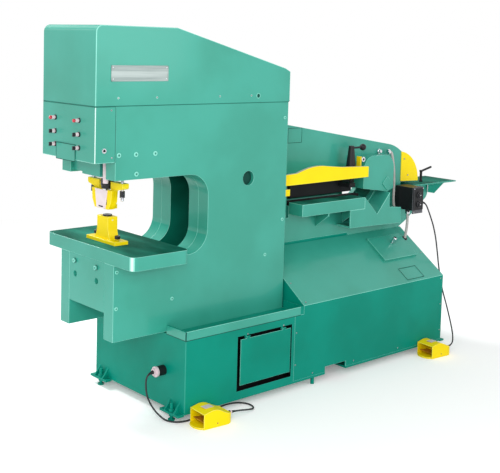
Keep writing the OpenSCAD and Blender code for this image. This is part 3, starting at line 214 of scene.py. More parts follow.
def linear(colour: str) -> tuple[float, float, float, float]:
    """Turns an sRGB hex colour into linear light.

    Args:
        colour: Six hex digits.

    Returns:
        Red, green, blue and alpha.
    """
    parts = [int(colour[i : i + 2], 16) / 255 for i in (0, 2, 4)]
    bent = [c / 12.92 if c <= 0.04045 else ((c + 0.055) / 1.055) ** 2.4 for c in parts]
    return (*bent, 1.0)


def add_node(tree: bpy.types.NodeTree, kind: str, settings: dict | None = None,
             inputs: dict | None = None) -> bpy.types.Node:
    """Adds a node, with its settings, its values and its links.

    Args:
        tree: The node tree to add to.
        kind: The node's type.
        settings: Properties of the node.
        inputs: For each input, by name or number, a value or the socket that feeds it.

    Returns:
        The new node.
    """
    made = tree.nodes.new(kind)
    for key, value in (settings or {}).items():
        setattr(made, key, value)
    for key, value in (inputs or {}).items():
        if isinstance(value, bpy.types.NodeSocket):
            tree.links.new(value, made.inputs[key])
        else:
            made.inputs[key].default_value = value
    return made


@dataclass(frozen=True)
class Finish:
    """A surface finish with a base colour, a second colour that it drifts to, and a fine relief.

    Lengths are in metres: drift is the size of the patches of the second colour, grain the
    spacing of the relief, and depth its height. The drift's range is where in its pattern the
    second colour sets in and is full. The edge colour is a painted highlight along rounded edges;
    the edge highlight range is where it sets in and is full, as the cosine by which a rounded edge
    turns from its face. The rough range is the part of the relief that the roughness follows, by
    its spread to either side.
    """

    name: str
    colour: str
    second: str
    rough: float = 0.4
    metal: float = 0.0
    drift: float = 0.4
    grain: float = 0.006
    depth: float = 0.0001
    edge: str = ""
    edge_share: float = 0.6
    edge_width: float = 0.0025
    coat: float = 0.0
    coat_rough: float = 0.12
    gloss: float = 0.5
    stretch: tuple[float, float, float] = (1.0, 1.0, 1.0)
    drift_range: tuple[float, float] = (0.35, 0.68)
    edge_highlight_range: tuple[float, float] = (0.99, 0.85)
    rough_range: tuple[float, float] = (0.3, 0.7)
    rough_spread: float = 0.05

    def build(self) -> bpy.types.Material:
        """Builds the material.

        Returns:
            The material, with its shader fed by patterns on Object coordinates.
        """
        made = bpy.data.materials.new(self.name)
        made.use_nodes = True
        made.diffuse_color = linear(self.colour)
        tree = made.node_tree
        tree.nodes.clear()
        place = add_node(tree, "ShaderNodeTexCoord").outputs["Object"]
        drawn = add_node(tree, "ShaderNodeMapping", {}, {"Vector": place, "Scale": self.stretch}).outputs[0]
        patches = add_node(tree, "ShaderNodeTexNoise", {},
                           {"Vector": drawn, "Scale": 1 / self.drift, "Detail": 3.0}).outputs["Fac"]
        soft = add_node(tree, "ShaderNodeMapRange", {"interpolation_type": "SMOOTHSTEP"},
                        {"Value": patches, "From Min": self.drift_range[0],
                         "From Max": self.drift_range[1]}).outputs[0]
        colour = add_node(tree, "ShaderNodeMix", {"data_type": "RGBA"},
                          {0: soft, 6: linear(self.colour), 7: linear(self.second)}).outputs[2]
        fine = add_node(tree, "ShaderNodeTexNoise", {},
                        {"Vector": drawn, "Scale": 1 / self.grain, "Detail": 2.0}).outputs["Fac"]
        relief = {"Height": fine, "Distance": self.depth}
        # The edge colour is a painted highlight, mixed in where a rounded edge turns from its face
        if self.edge:
            round_edge = add_node(tree, "ShaderNodeBevel", {"samples": 4},
                                  {"Radius": self.edge_width}).outputs[0]
            relief["Normal"] = round_edge
            flat = add_node(tree, "ShaderNodeNewGeometry").outputs["Normal"]
            turn = add_node(tree, "ShaderNodeVectorMath", {"operation": "DOT_PRODUCT"},
                            {0: round_edge, 1: flat}).outputs["Value"]
            edge_highlight = add_node(tree, "ShaderNodeMapRange", {},
                            {"Value": turn, "From Min": self.edge_highlight_range[0],
                             "From Max": self.edge_highlight_range[1], "To Max": self.edge_share}).outputs[0]
            colour = add_node(tree, "ShaderNodeMix", {"data_type": "RGBA"},
                              {0: edge_highlight, 6: colour, 7: linear(self.edge)}).outputs[2]
        normal = add_node(tree, "ShaderNodeBump", {}, relief).outputs[0]
        rough = add_node(tree, "ShaderNodeMapRange", {},
                         {"Value": fine, "From Min": self.rough_range[0], "From Max": self.rough_range[1],
                          "To Min": self.rough - self.rough_spread,
                          "To Max": self.rough + self.rough_spread}).outputs[0]
        shader = add_node(tree, "ShaderNodeBsdfPrincipled", {},
                          {"Base Color": colour, "Roughness": rough, "Normal": normal,
                           "Metallic": self.metal, "Coat Weight": self.coat,
                           "Coat Roughness": self.coat_rough, "Specular IOR Level": self.gloss}).outputs[0]
        add_node(tree, "ShaderNodeOutputMaterial", {}, {"Surface": shader})
        return made


class Look(Enum):
    """The machine's finishes."""

    # Two-pack alkyd enamel sprayed on plate: even, glossy, with a faint orange peel
    GREEN = Finish("green_enamel", "39A592", "329B87", rough=0.4, coat=0.35, gloss=0.35)
    # The same enamel painted darker as shade, on the base and its door, the low covers, the levelling
    # bolts and the notcher's table; its rounded edges are painted paler as a highlight
    GREEN_DEEP = Finish("green_enamel_painted_shade", "00907C", "008571", rough=0.42, edge="4FBBA9", gloss=0.12)
    # The same enamel painted paler along the plates' bevelled edges, on the painted screws' heads
    # and along the tray's rim: a painted highlight
    GREEN_EDGE = Finish("green_enamel_painted_edge_highlight", "8ADCCB", "7BD0BF", rough=0.3)
    # The same enamel painted near white as a glint on a rounded upright corner: a painted highlight
    GREEN_GLINT = Finish("green_enamel_painted_glint", "DDF6F0", "CFF0E8", rough=0.2)
    # Enamel on the frame's upward cut edges, on the hood's roof and at the base's front corner: it
    # lies duller there and scatters the light instead of mirroring it. At the base's front corner it is
    # also lighter than the base's painted-shade enamel, a painted highlight
    GREEN_SATIN = Finish("satin_green_enamel", "39A592", "329B87", rough=0.62, gloss=0.1)
    # Enamel inside the frame, painted dark as the shade there, and rougher
    GREEN_INNER = Finish("shaded_green_enamel", "0A7460", "065442", rough=0.5, drift=0.5, gloss=0.15)
    # Dark enamel for the joints round the access panel and the tray's lip and for the rules round
    # blank labels, and painted shade in the screws' counterbores and inside the frame's bores
    GREEN_SEAM = Finish("dark_line_and_painted_shade_enamel", "0C4F44", "0A443B", rough=0.6, gloss=0.2)
    # A tight joint between two sheets, only a little darker than the enamel round it
    GREEN_JOINT = Finish("joint_green_enamel", "35897A", "2E7E6F", rough=0.5, gloss=0.2)
    # Enamel on the tables' tops, painted dark with lighter stretched patches as the shade and
    # reflections on them
    GREEN_TOP = Finish("green_top_painted_shade_and_reflection", "055444", "2E907C", rough=0.65, drift=0.22, gloss=0.04,
                       stretch=(1.0, 0.35, 1.0))
    # Safety yellow enamel: even and glossy
    YELLOW = Finish("yellow_enamel", "FFE600", "FBDD00", rough=0.4, gloss=0.2)
    # The same yellow painted paler along the bevelled edges as a highlight, and glossier there
    YELLOW_EDGE = Finish("yellow_enamel_painted_edge_highlight", "FFF26A", "FDEB4E", rough=0.3)
    # Pale grey painted on the guard bar's upward faces as the light that falls on them: painted light
    PRIMER = Finish("grey_painted_top_light", "D9CFC4", "C9BFB2", rough=0.5)
    # Yellow enamel on the treadles, painted dark ochre as the shade inside the pedals' mouths
    OCHRE = Finish("yellow_enamel_painted_shade", "C98A1E", "9E6A18", rough=0.6, drift=0.03, gloss=0.2)
    # Painted shade: almost black, for the unlit inside of a socket, a slot or an opening
    SHADOW = Finish("painted_shade_recess", "0B0C0D", "111214", rough=0.7, gloss=0.1)
    # Moulded ABS: fine texture, dull sheen; its rounded edges painted greyer as a highlight
    BLACK = Finish("black_abs", "141517", "1B1C1F", rough=0.45, gloss=0.3, grain=0.0012, edge="4A4B50",
                   edge_share=0.4)
    # The same moulding painted grey along its corners as a highlight, a little smoother there; also
    # the grey strip at the lid's seam
    BLACK_EDGE = Finish("black_abs_painted_edge_highlight", "54555B", "4A4B50", rough=0.35)
    # Moulded acrylic caps: clear gloss over a deep colour
    RED = Finish("red_acrylic", "D0283C", "C02236", rough=0.16, drift=0.02, coat=0.5)
    # Chromium plate on turned steel: mirror-like with faint haze
    CHROME = Finish("chromed_steel", "E2E2E6", "D6D6DC", rough=0.14, metal=1.0, drift=0.05, depth=0.00002)
    # Turned and ground steel: bright, with tool marks
    STEEL = Finish("machined_steel", "C2C2C4", "AAAAAE", rough=0.34, metal=1.0, drift=0.06)
    # Brushed aluminium sheet: long fine scratches along the plate
    BRUSHED = Finish("brushed_aluminium", "A9B4B2", "8E9A98", rough=0.42, metal=1.0, drift=0.02, grain=0.0016,
                     depth=0.00006, stretch=(0.04, 1.0, 1.0))
    # Black oxide on tool steel: oily black, with its rounded edges painted lighter as a soft highlight
    DARK_STEEL = Finish("black_oxide_steel", "1E1E22", "2A2A2E", rough=0.22, metal=0.3, drift=0.08,
                        edge="8A8A90", edge_share=0.5)
    # Motor enamel, sprayed on castings: blue-grey and semi-gloss
    MOTOR = Finish("motor_enamel", "3C4A57", "35424E", rough=0.4)
    # Satin nickel plate on the controls' barrels, the guide rod and the cords' fittings: pale, with a
    # soft sheen and a warm pink cast
    NICKEL = Finish("satin_nickel", "E6D3D8", "DCC6CC", rough=0.3, drift=0.02)
    # Black enamel on the shear's slide, dull with cutting oil
    OILED_BLACK = Finish("oiled_black_enamel", "17181A", "202124", rough=0.6, gloss=0.15)
    # Polycarbonate sheet with its hazy handling film: pale, a little pink, smooth
    GUARD = Finish("clear_polycarbonate", "F4E4E8", "ECDADF", rough=0.12, drift=0.05)
    # PVC-covered flexible conduit: grey-green, satin
    CONDUIT = Finish("grey_pvc_conduit", "BDB9B6", "A9A5A2", rough=0.45, drift=0.03)
    # Neoprene cord sheath: soft black, dusty
    CORD = Finish("cord_rubber", "26262A", "303034", rough=0.6, drift=0.02, grain=0.002)

    def made(self) -> bpy.types.Material:
        """The finish's material, built once."""
        return bpy.data.materials.get(self.value.name) or self.value.build()


# The base and its covers, the inner frame and the treadles take finishes painted darker as shade
NODE_LOOKS = {
    Look.GREEN: ["outer_plates", "jaw_front_plate", "punch_table", "hood_cover", "front_cover",
                 "access_panel", "punch_cylinder", "rear_cover", "shear_plates", "angle_guard", "angle_block",
                 "shear_table"],
    Look.GREEN_DEEP: ["base_frame", "slug_door", "power_cover", "hatch", "notcher_table", "levelling_bolts"],
    Look.YELLOW: ["stripper", "die_holder", "guard_bar", "notcher_guard", "pedal_guard_1", "pedal_guard_2"],
    Look.BLACK: ["control_bezels", "hold_down_lever", "fence_lever", "control_box", "cord_inlet"],
    Look.OCHRE: ["treadle_1", "treadle_2"],
    Look.RED: ["start_button", "stop_button"],
    Look.CHROME: ["selector_1", "selector_2", "selector_3", "selector_4", "side_latch", "ram_gland", "ram",
                  "hatch_knob", "cylinder_rod", "box_sockets"],
    Look.STEEL: ["punch", "pivot_pin", "fasteners"],
    Look.BRUSHED: ["nameplate"],
    Look.GREEN_INNER: ["inner_frame"],
    Look.OILED_BLACK: ["lower_blade", "hold_down_foot", "shear_beam"],
    Look.CONDUIT: ["conduits"],
    Look.DARK_STEEL: ["coupling_nut", "stripper_nuts", "die", "shear_cylinder"],
    Look.MOTOR: ["power_unit"],
    Look.GUARD: ["stripper_guard"],
    Look.CORD: ["cord_1", "cord_2"],
}
BODIES = {node: body for body, nodes in frame["record"]["behaviour"]["bodies"].items() for node in nodes}


def dress_nodes() -> None:
    """Gives every CAD node its finish."""
    for look, names in NODE_LOOKS.items():
        for name in names:
            slots = frame["nodes"][name].data.materials
            slots.clear()
            slots.append(look.made())


# ---------- shaping ----------

X, Y, Z = Vector((1, 0, 0)), Vector((0, 1, 0)), Vector((0, 0, 1))


def faces_of(corners: list) -> list:
    """The faces round some corners, each once and in a steady order."""
    return list(dict.fromkeys(face for corner in corners for face in corner.link_faces))


def edges_of(corners: list) -> list:
    """The edges at some corners, each once and in a steady order."""
    return list(dict.fromkeys(edge for corner in corners for edge in corner.link_edges))


class Maker:
    """One piece on the bench: a mesh that grows feature by feature, each in its own finish."""

    def __init__(self, name: str) -> None:
        """Starts an empty piece.

        Args:
            name: The piece's name.
        """
        self.name = name
        self.shape = bmesh.new()
        self.looks: list[Look] = []

    def paint(self, faces: list, look: Look) -> None:
        """Gives faces a finish.

        Args:
            faces: The faces.
            look: Their finish.
        """
        if look not in self.looks:
            self.looks.append(look)
        for face in faces:
            face.material_index = self.looks.index(look)

    def turn(self, look: Look, place: Vector, axis: Vector, profile: list, sides: int = 32) -> None:
        """Turns a profile about an axis, as on a lathe.

        Args:
            look: The finish.
            place: Where the axis starts.
            axis: The axis's direction.
            profile: Pairs of millimetres, along the axis and out from it.
            sides: How many sides the round has.
        """
        axis = axis.normalized()
        side = axis.orthogonal().normalized()
        places = [place + (axis * along + side * out) * MM for along, out in profile]
        points = [self.shape.verts.new(p) for p in places]
        lines = [self.shape.edges.new(pair) for pair in zip(points, points[1:])]
        before = set(self.shape.faces)
        bmesh.ops.spin(self.shape, geom=points + lines, cent=place, axis=axis, angle=math.tau,
                       steps=sides, use_merge=True, use_duplicate=False)
        made = [face for face in self.shape.faces if face not in before]
        self.paint(made, look)
        around = list(dict.fromkeys(corner for face in made for corner in face.verts))
        bmesh.ops.remove_doubles(self.shape, verts=around, dist=LATHE_WELD)

    def slab(self, look: Look, low: tuple, high: tuple, bevel: float = 0.8, edge: Look | None = None) -> None:
        """Adds a block with bevelled edges.

        Args:
            look: The finish.
            low: Its lowest corner in millimetres.
            high: Its highest corner in millimetres.
            bevel: The bevel's width in millimetres.
            edge: The finish of the bevels, where it differs.
        """
        low, high = Vector(low) * MM, Vector(high) * MM
        fit = Matrix.Translation((low + high) / 2) @ Matrix.Diagonal((*(high - low), 1))
        corners = bmesh.ops.create_cube(self.shape, size=1.0, matrix=fit)["verts"]
        self.paint(faces_of(corners), look)
        cut = bmesh.ops.bevel(self.shape, geom=edges_of(corners), offset=bevel * MM, segments=2,
                              profile=0.5, affect="EDGES", material=-1)["faces"]
        self.paint(cut, edge or look)

    def prism(self, look: Look, place: Vector, axis: Vector, across: float, length: float, sides: int = 6,
              bevel: float = 0.6) -> None:
        """Adds a nut, a socket or another flat-sided bar.

        Args:
            look: The finish.
            place: The middle of its first end.
            axis: The way that it runs.
            across: Its width over two corners in millimetres.
            length: Its length in millimetres.
            sides: How many sides it has.
            bevel: The width of its bevels in millimetres.
        """
        turn = axis.to_track_quat("Z", "Y").to_matrix().to_4x4()
        fit = Matrix.Translation(place + axis.normalized() * length * MM / 2) @ turn
        corners = bmesh.ops.create_cone(self.shape, cap_ends=True, segments=sides, radius1=across * MM / 2,
                                        radius2=across * MM / 2, depth=length * MM, matrix=fit)["verts"]
        self.paint(faces_of(corners), look)
        cut = bmesh.ops.bevel(self.shape, geom=edges_of(corners), offset=bevel * MM, segments=1,
                              profile=0.5, affect="EDGES", material=-1)["faces"]
        self.paint(cut, look)

    def sleeve(self, look: Look, line: list, radii: list, sides: int = 16) -> None:
        """Runs a closed round tube along a line.

        Args:
            look: The finish.
            line: Points in metres.
            radii: The radius at each point, in millimetres.
            sides: How many sides it has.
        """
        rings = []
        for i, (place, radius) in enumerate(zip(line, radii)):
            along = line[min(i + 1, len(line) - 1)] - line[max(i - 1, 0)]
            fit = Matrix.Translation(place) @ along.to_track_quat("Z", "Y").to_matrix().to_4x4()
            ends = i in (0, len(line) - 1)
            ring = bmesh.ops.create_circle(self.shape, cap_ends=ends, segments=sides, radius=radius * MM,
                                           matrix=fit)["verts"]
            rings.append(ring)
        for one, two in zip(rings, rings[1:]):
            rims = [edge for ring in (one, two) for edge in edges_of(ring)
                    if all(corner in ring for corner in edge.verts)]
            made = bmesh.ops.bridge_loops(self.shape, edges=rims)["faces"]
            self.paint(made, look)
        for ring in (rings[0], rings[-1]):
            self.paint([face for face in ring[0].link_faces if len(face.verts) == sides], look)

    def done(self, body: str, replaces: tuple = (), smooth: float = 35.0) -> bpy.types.Object:
        """Takes the piece off the bench.

        Args:
            body: The CAD body that it moves with.
            replaces: The CAD nodes that it stands for.
            smooth: The angle in degrees below which two faces shade as one.

        Returns:
            The finished object.
        """
        bmesh.ops.recalc_face_normals(self.shape, faces=self.shape.faces)
        mesh = bpy.data.meshes.new(self.name)
        self.shape.to_mesh(mesh)
        self.shape.free()
        mesh.shade_smooth()
        mesh.set_sharp_from_angle(angle=math.radians(smooth))
        for look in self.looks:
            mesh.materials.append(look.made())
        made = bpy.data.objects.new(self.name, mesh)
        bpy.context.scene.collection.objects.link(made)
        even = made.modifiers.new("even_shading", "WEIGHTED_NORMAL")
        even.keep_sharp = True
        even.weight = 100
        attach(made, body)
        if replaces:
            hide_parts(*replaces)
        log.info("%s: %d faces on %s", self.name, len(mesh.polygons), body)
        return made


def place_of(node: str) -> tuple[Vector, Vector]:
    """The box of a CAD node.

    Args:
        node: The node's name.

    Returns:
        Its lowest and highest corners in millimetres.
    """
    low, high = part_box(node)
    return low / MM, high / MM


def face_of(low: Vector, high: Vector, way: Vector) -> Vector:
    """The middle of the face of a box that looks one way.

    Args:
        low: The box's lowest corner in millimetres.
        high: The box's highest corner in millimetres.
        way: X, Y or Z, or one of them turned round.

    Returns:
        The face's middle in metres.
    """
    middle = (low + high) / 2
    for i in range(3):
        if way[i]:
            middle[i] = high[i] if way[i] > 0 else low[i]
    return middle * MM


def merge_into(shape: bmesh.types.BMesh, node: str) -> None:
    """Puts a CAD node's faces into a mesh, with doubled corners merged and flat faces joined.

    Args:
        shape: The empty mesh.
        node: The node's name.
    """
    shape.from_mesh(frame["nodes"][node].data)
    bmesh.ops.remove_doubles(shape, verts=shape.verts, dist=WELD)
    bmesh.ops.dissolve_limit(shape, angle_limit=math.radians(FLAT), verts=shape.verts, edges=shape.edges,
                             use_dissolve_boundaries=False)


def solids_of(node: str) -> list[tuple[Vector, Vector]]:
    """The boxes of a CAD node's separate solids.

    Args:
        node: The node's name.

    Returns:
        The lowest and highest corners of each solid in millimetres, in a steady order.
    """
    shape = bmesh.new()
    shape.from_mesh(frame["nodes"][node].data)
    bmesh.ops.remove_doubles(shape, verts=shape.verts, dist=WELD)
    left = set(shape.verts)
    boxes = []
    for first in shape.verts:
        if first not in left:
            continue
        reach, group = [first], []
        left.discard(first)
        while reach:
            corner = reach.pop()
            group.append(corner.co / MM)
            for line in corner.link_edges:
                other = line.other_vert(corner)
                if other in left:
                    left.discard(other)
                    reach.append(other)
        boxes.append((Vector(map(min, *group)), Vector(map(max, *group))))
    shape.free()
    return sorted(boxes, key=lambda box: tuple(round(v) for v in box[0]))


# ---------- plates and sheet metal ----------


@dataclass(frozen=True)
class SoftPlate:
    """A plate or casting whose edges are rounded off and painted pale along them as a highlight.

    Widths are in millimetres. A seam is a plane, given as an axis and a place along it, where two
    sheets meet and the joint is darker. A top is the height of an upper face painted darker as the
    shade and reflections on it. A glint is the place of an upright corner, along X and Y, whose
    bevels are painted near white as a highlight. A slope is the finish of the faces that lean back
    to the light, painted lighter as the light from above on some plates, and sides that of the flat
    faces along the machine, painted dark as shade inside the frame. A highlight heading is the
    heading, in degrees, of the part of a round corner painted as a highlight, and the arcs are how
    far to each side of it, in degrees, the pale highlight and the near-white glint reach. The
    reaches of a seam and a glint are counted in bevels. A face leans back when its normal's share
    upwards is over leaning.
    """

    node: str
    look: Look
    edge: Look
    bevel: float = 1.5
    seams: tuple = ()
    top: float | None = None
    glint: tuple | None = None
    slope: Look | None = None
    sides: Look | None = None
    highlight_heading: float | None = None
    highlight_arc: float = 24.0
    glint_arc: float = 12.0
    seam_reach: float = 3.0
    glint_reach: float = 4.0
    leaning: float = 0.3
    top_slack: float = 1.0

    def build(self) -> bpy.types.Object:
        """Rounds off a copy of the CAD node and puts it in the node's place.

        Returns:
            The plate's object.
        """
        work = Maker("soft_" + self.node)
        shape = work.shape
        merge_into(shape, self.node)
        work.paint(shape.faces, self.look)
        sharp = [line for line in shape.edges if len(line.link_faces) == 2
                 and line.calc_face_angle(0) > math.radians(CREASE)]
        hollow = {line for line in sharp if not line.is_convex}
        cut = bmesh.ops.bevel(shape, geom=[line for line in sharp if line not in hollow],
                              offset=self.bevel * MM, offset_type="OFFSET", segments=2, profile=0.5,
                              affect="EDGES", clamp_overlap=False, material=-1)["faces"]
        # The bevels take the edge finish, painted paler as a highlight
        work.paint(cut, self.edge)
        near_glint = self.glint_reach * self.bevel
        # Bevels at a seam take the darker joint; bevels at the glint's corner are painted near white as a
        # highlight
        for face in cut:
            middle = face.calc_center_median() / MM
            if any(abs(middle[axis] - at) < self.seam_reach * self.bevel for axis, at in self.seams):
                work.paint([face], Look.GREEN_JOINT)
            elif self.glint and math.dist(middle.xy, self.glint) < near_glint:
                work.paint([face], Look.GREEN_GLINT)
        # Faces square to Y take the sides' finish, painted dark as shade inside the frame
        if self.sides:
            work.paint([face for face in shape.faces if abs(face.normal.y) > SQUARE and face not in cut],
                       self.sides)
        # Upward faces take the slope's finish, on some plates painted lighter as light from above
        if self.slope:
            work.paint([face for face in shape.faces if face.normal.z > self.leaning and face not in cut],
                       self.slope)
        # Faces round the highlight heading are painted pale, then near white, as a highlight
        if self.highlight_heading is not None:
            turned = math.radians(self.highlight_heading)
            heading = Vector((math.cos(turned), math.sin(turned), 0))
            for look, arc in ((Look.GREEN_EDGE, self.highlight_arc), (Look.GREEN_GLINT, self.glint_arc)):
                least = math.cos(math.radians(arc))
                work.paint([face for face in shape.faces if face.normal.dot(heading) > least], look)
        # The top face is painted darker as the shade and reflections on it
        if self.top is not None:
            work.paint([face for face in shape.faces if face.normal.z > SQUARE
                        and abs(face.calc_center_median().z / MM - self.top) < self.top_slack],
                       Look.GREEN_TOP)
        return work.done(BODIES[self.node], (self.node,))


# Every plate's bevels are painted paler as a highlight
PLATES = (
    SoftPlate("hood_cover", Look.GREEN, Look.GREEN_EDGE, 4.0, seams=((2, 1764),), slope=Look.GREEN_SATIN),
    # The front cover's upright corner is painted near white as a glint
    SoftPlate("front_cover", Look.GREEN, Look.GREEN_EDGE, 4.0, seams=((2, 1764), (0, -1551)),
              glint=(-1680, -270)),
    SoftPlate("outer_plates", Look.GREEN, Look.GREEN_EDGE, 1.5, seams=((2, 1764),), slope=Look.GREEN_SATIN),
    # The inner frame's sides are painted dark as shade
    SoftPlate("inner_frame", Look.GREEN, Look.GREEN_EDGE, 1.5, sides=Look.GREEN_INNER,
              slope=Look.GREEN_SATIN),
    SoftPlate("jaw_front_plate", Look.GREEN, Look.GREEN, 1.5),
    # The punch table's top is painted dark as shade and reflection, its round corner pale as a highlight
    SoftPlate("punch_table", Look.GREEN, Look.GREEN_EDGE, 1.5, top=980, highlight_heading=-150),
    SoftPlate("access_panel", Look.GREEN, Look.GREEN_SEAM, 1.0),
    SoftPlate("slug_door", Look.GREEN_DEEP, Look.GREEN_EDGE, 1.2),
    SoftPlate("shear_plates", Look.GREEN, Look.GREEN_EDGE, 1.5),
    # The shear table's top is painted dark as shade and reflection
    SoftPlate("shear_table", Look.GREEN, Look.GREEN_EDGE, 2.5, top=1084),
    SoftPlate("angle_block", Look.GREEN, Look.GREEN_EDGE, 2.5),
    SoftPlate("angle_guard", Look.GREEN, Look.GREEN_EDGE, 1.0),
    # The notcher table's top is painted dark as shade and reflection
    SoftPlate("notcher_table", Look.GREEN_DEEP, Look.GREEN_EDGE, 1.5, top=1107),
    SoftPlate("hatch", Look.GREEN, Look.GREEN_EDGE, 1.5),
    # The power cover's upward faces are painted in the lighter enamel as light from above
    SoftPlate("power_cover", Look.GREEN_DEEP, Look.GREEN_EDGE, 1.5, slope=Look.GREEN),
    SoftPlate("stripper", Look.YELLOW, Look.YELLOW_EDGE, 1.5),
    SoftPlate("die_holder", Look.YELLOW, Look.YELLOW_EDGE, 1.5),
    # The guard bar's upward faces are painted pale grey as light from above
    SoftPlate("guard_bar", Look.YELLOW, Look.YELLOW_EDGE, 1.5, slope=Look.PRIMER),
    SoftPlate("notcher_guard", Look.YELLOW, Look.YELLOW_EDGE, 0.8),
    SoftPlate("pedal_guard_1", Look.YELLOW, Look.YELLOW_EDGE, 1.5),
    SoftPlate("pedal_guard_2", Look.YELLOW, Look.YELLOW_EDGE, 1.5),
    SoftPlate("control_box", Look.BLACK, Look.BLACK_EDGE, 1.5),
)


# ---------- screws, bolts and labels ----------


@dataclass(frozen=True)
class ScrewSet:
    """The machine's cap screws, cover screws and studs, one for each solid of the CAD node.

    Each solid is told apart by its size and place in millimetres. An upright one is taller than it
    is wide by the slender share, and a stud if it is taller than stud_tall. The jaw's two bolts lie
    before jaw_x and below jaw_z. Side screws lie beyond side_y to either side, as broad as high
    within a slack, and are painted over when broader than painted_over. The guard bar's screw is
    broader than knob_across, and the die holder's thumb screw narrower than thumb_across and longer
    than thumb_long.
    """

    node: str = "fasteners"
    stud_pitch: float = 2.5
    stud_tall: float = 150.0
    slender: float = 1.5
    jaw_x: float = -1500.0
    jaw_z: float = 1300.0
    jaw_across: float = 20.0
    jaw_head: float = 6.0
    side_y: float = 200.0
    slack: float = 1.5
    painted_over: float = 12.0
    painted_seat: float = 3.0
    painted_head: float = 4.0
    plain_head: float = 2.0
    far_seat: float = 2.5
    knob_across: float = 30.0
    knob_head: float = 14.0
    thumb_across: float = 10.0
    thumb_long: float = 12.0
    socket_share: float = 0.5
    least_head: float = 21.0

    def cap_screw(self, work: Maker, head: Look, place: Vector, axis: Vector, across: float,
                  high: float) -> None:
        """Adds a cap screw's head with its hexagon socket.

        Args:
            work: The piece on the bench.
            head: The head's finish.
            place: The middle of the head's seat, in metres.
            axis: The way that the head faces.
            across: The head's diameter in millimetres.
            high: The head's height in millimetres.
        """
        r, soft = across / 2, min(1.0, high / 3)
        # Painted heads take the pale enamel as a painted highlight
        top = Look.GREEN_EDGE if head is Look.GREEN else head
        work.turn(top, place, axis, [(-2, 0), (-2, r), (high - soft, r), (high, r - soft), (high, 0)])
        # and a dark ring round them, the painted shade of their counterbore
        if top is Look.GREEN_EDGE:
            work.turn(Look.GREEN_SEAM, place, axis, [(-2.6, r), (-2.6, r + 2.6), (-2, r + 2.4), (-2, r)])
        # The socket is a thin dark hexagon standing proud of the head: painted shade for its hollow
        hollow = Look.GREEN_JOINT if top is Look.GREEN_EDGE else Look.SHADOW
        work.prism(hollow, place + axis * (high - 0.5) * MM, axis, across * self.socket_share, 0.8, bevel=0.1)

    def stud(self, work: Maker, look: Look, low: Vector, high: Vector) -> None:
        """Adds an upright threaded stud.

        Args:
            work: The piece on the bench.
            look: Its finish.
            low: The lowest corner of its box in millimetres.
            high: The highest corner of its box in millimetres.
        """
        r, tall = (high.x - low.x) / 2, high.z - low.z
        turns = int((tall - 4) / self.stud_pitch)
        thread = [(2 + (i + half) * self.stud_pitch, r - 1.2 * (half > 0))
                  for i in range(turns) for half in (0, 0.5)]
        work.turn(look, face_of(low, high, -Z), Z,
                  [(0, 0), (0, r - 2), *thread, (tall, r - 2), (tall, 0)], 20)

    def build(self) -> bpy.types.Object:
        """Makes the screws.

        Returns:
            The object with all of them.
        """
        work = Maker("screws")
        for low, high in solids_of(self.node):
            size, middle = high - low, (low + high) / 2
            upright = size.z > self.slender * max(size.x, size.y)
            round_face = abs(size.x - size.z) < self.slack
            near_side = low.y < -self.side_y and round_face
            if upright and size.z > self.stud_tall:
                self.stud(work, Look.CHROME, low, high)
            elif upright:
                head = size.x * 0.5
                seat = Vector((middle.x, middle.y, high.z - head)) * MM
                self.cap_screw(work, Look.DARK_STEEL, seat, Z, size.x, head)
            elif size.x > self.jaw_across and middle.z < self.jaw_z and middle.x < self.jaw_x:
                seat = Vector((low.x + self.jaw_head, middle.y, middle.z)) * MM
                self.cap_screw(work, Look.GREEN, seat, -X, size.y, self.jaw_head)
            elif near_side and size.x > self.painted_over:
                seat = Vector((middle.x, low.y + self.painted_seat, middle.z)) * MM
                self.cap_screw(work, Look.GREEN, seat, -Y, max(size.x, self.least_head), self.painted_head)
            elif high.y > self.side_y and round_face:
                seat = Vector((middle.x, high.y - self.far_seat, middle.z)) * MM
                self.cap_screw(work, Look.STEEL, seat, Y, size.x, self.plain_head)
            elif size.x > self.knob_across:
                seat = Vector((middle.x, high.y - size.y + self.knob_head, middle.z)) * MM
                self.cap_screw(work, Look.CHROME, seat, -Y, size.x, self.knob_head)
            elif size.x < self.thumb_across and size.y > self.thumb_long and not near_side:
                self.thumb_screw(work, face_of(low, high, Y))
            else:
                seat = Vector((middle.x, low.y + self.plain_head, middle.z)) * MM
                self.cap_screw(work, Look.STEEL, seat, -Y, size.x, self.plain_head)
        return work.done(FRAME, (self.node,))

    def thumb_screw(self, work: Maker, seat: Vector) -> None:
        """Adds the small knurled screw beside the die holder, with its seat in metres."""
        work.turn(Look.CHROME, seat, -Y, [(0, 0), (0, 3.5), (8, 3.5), (8, 7), (8.8, 8), (14.2, 8), (15, 7),
                                          (15, 0)], 20)


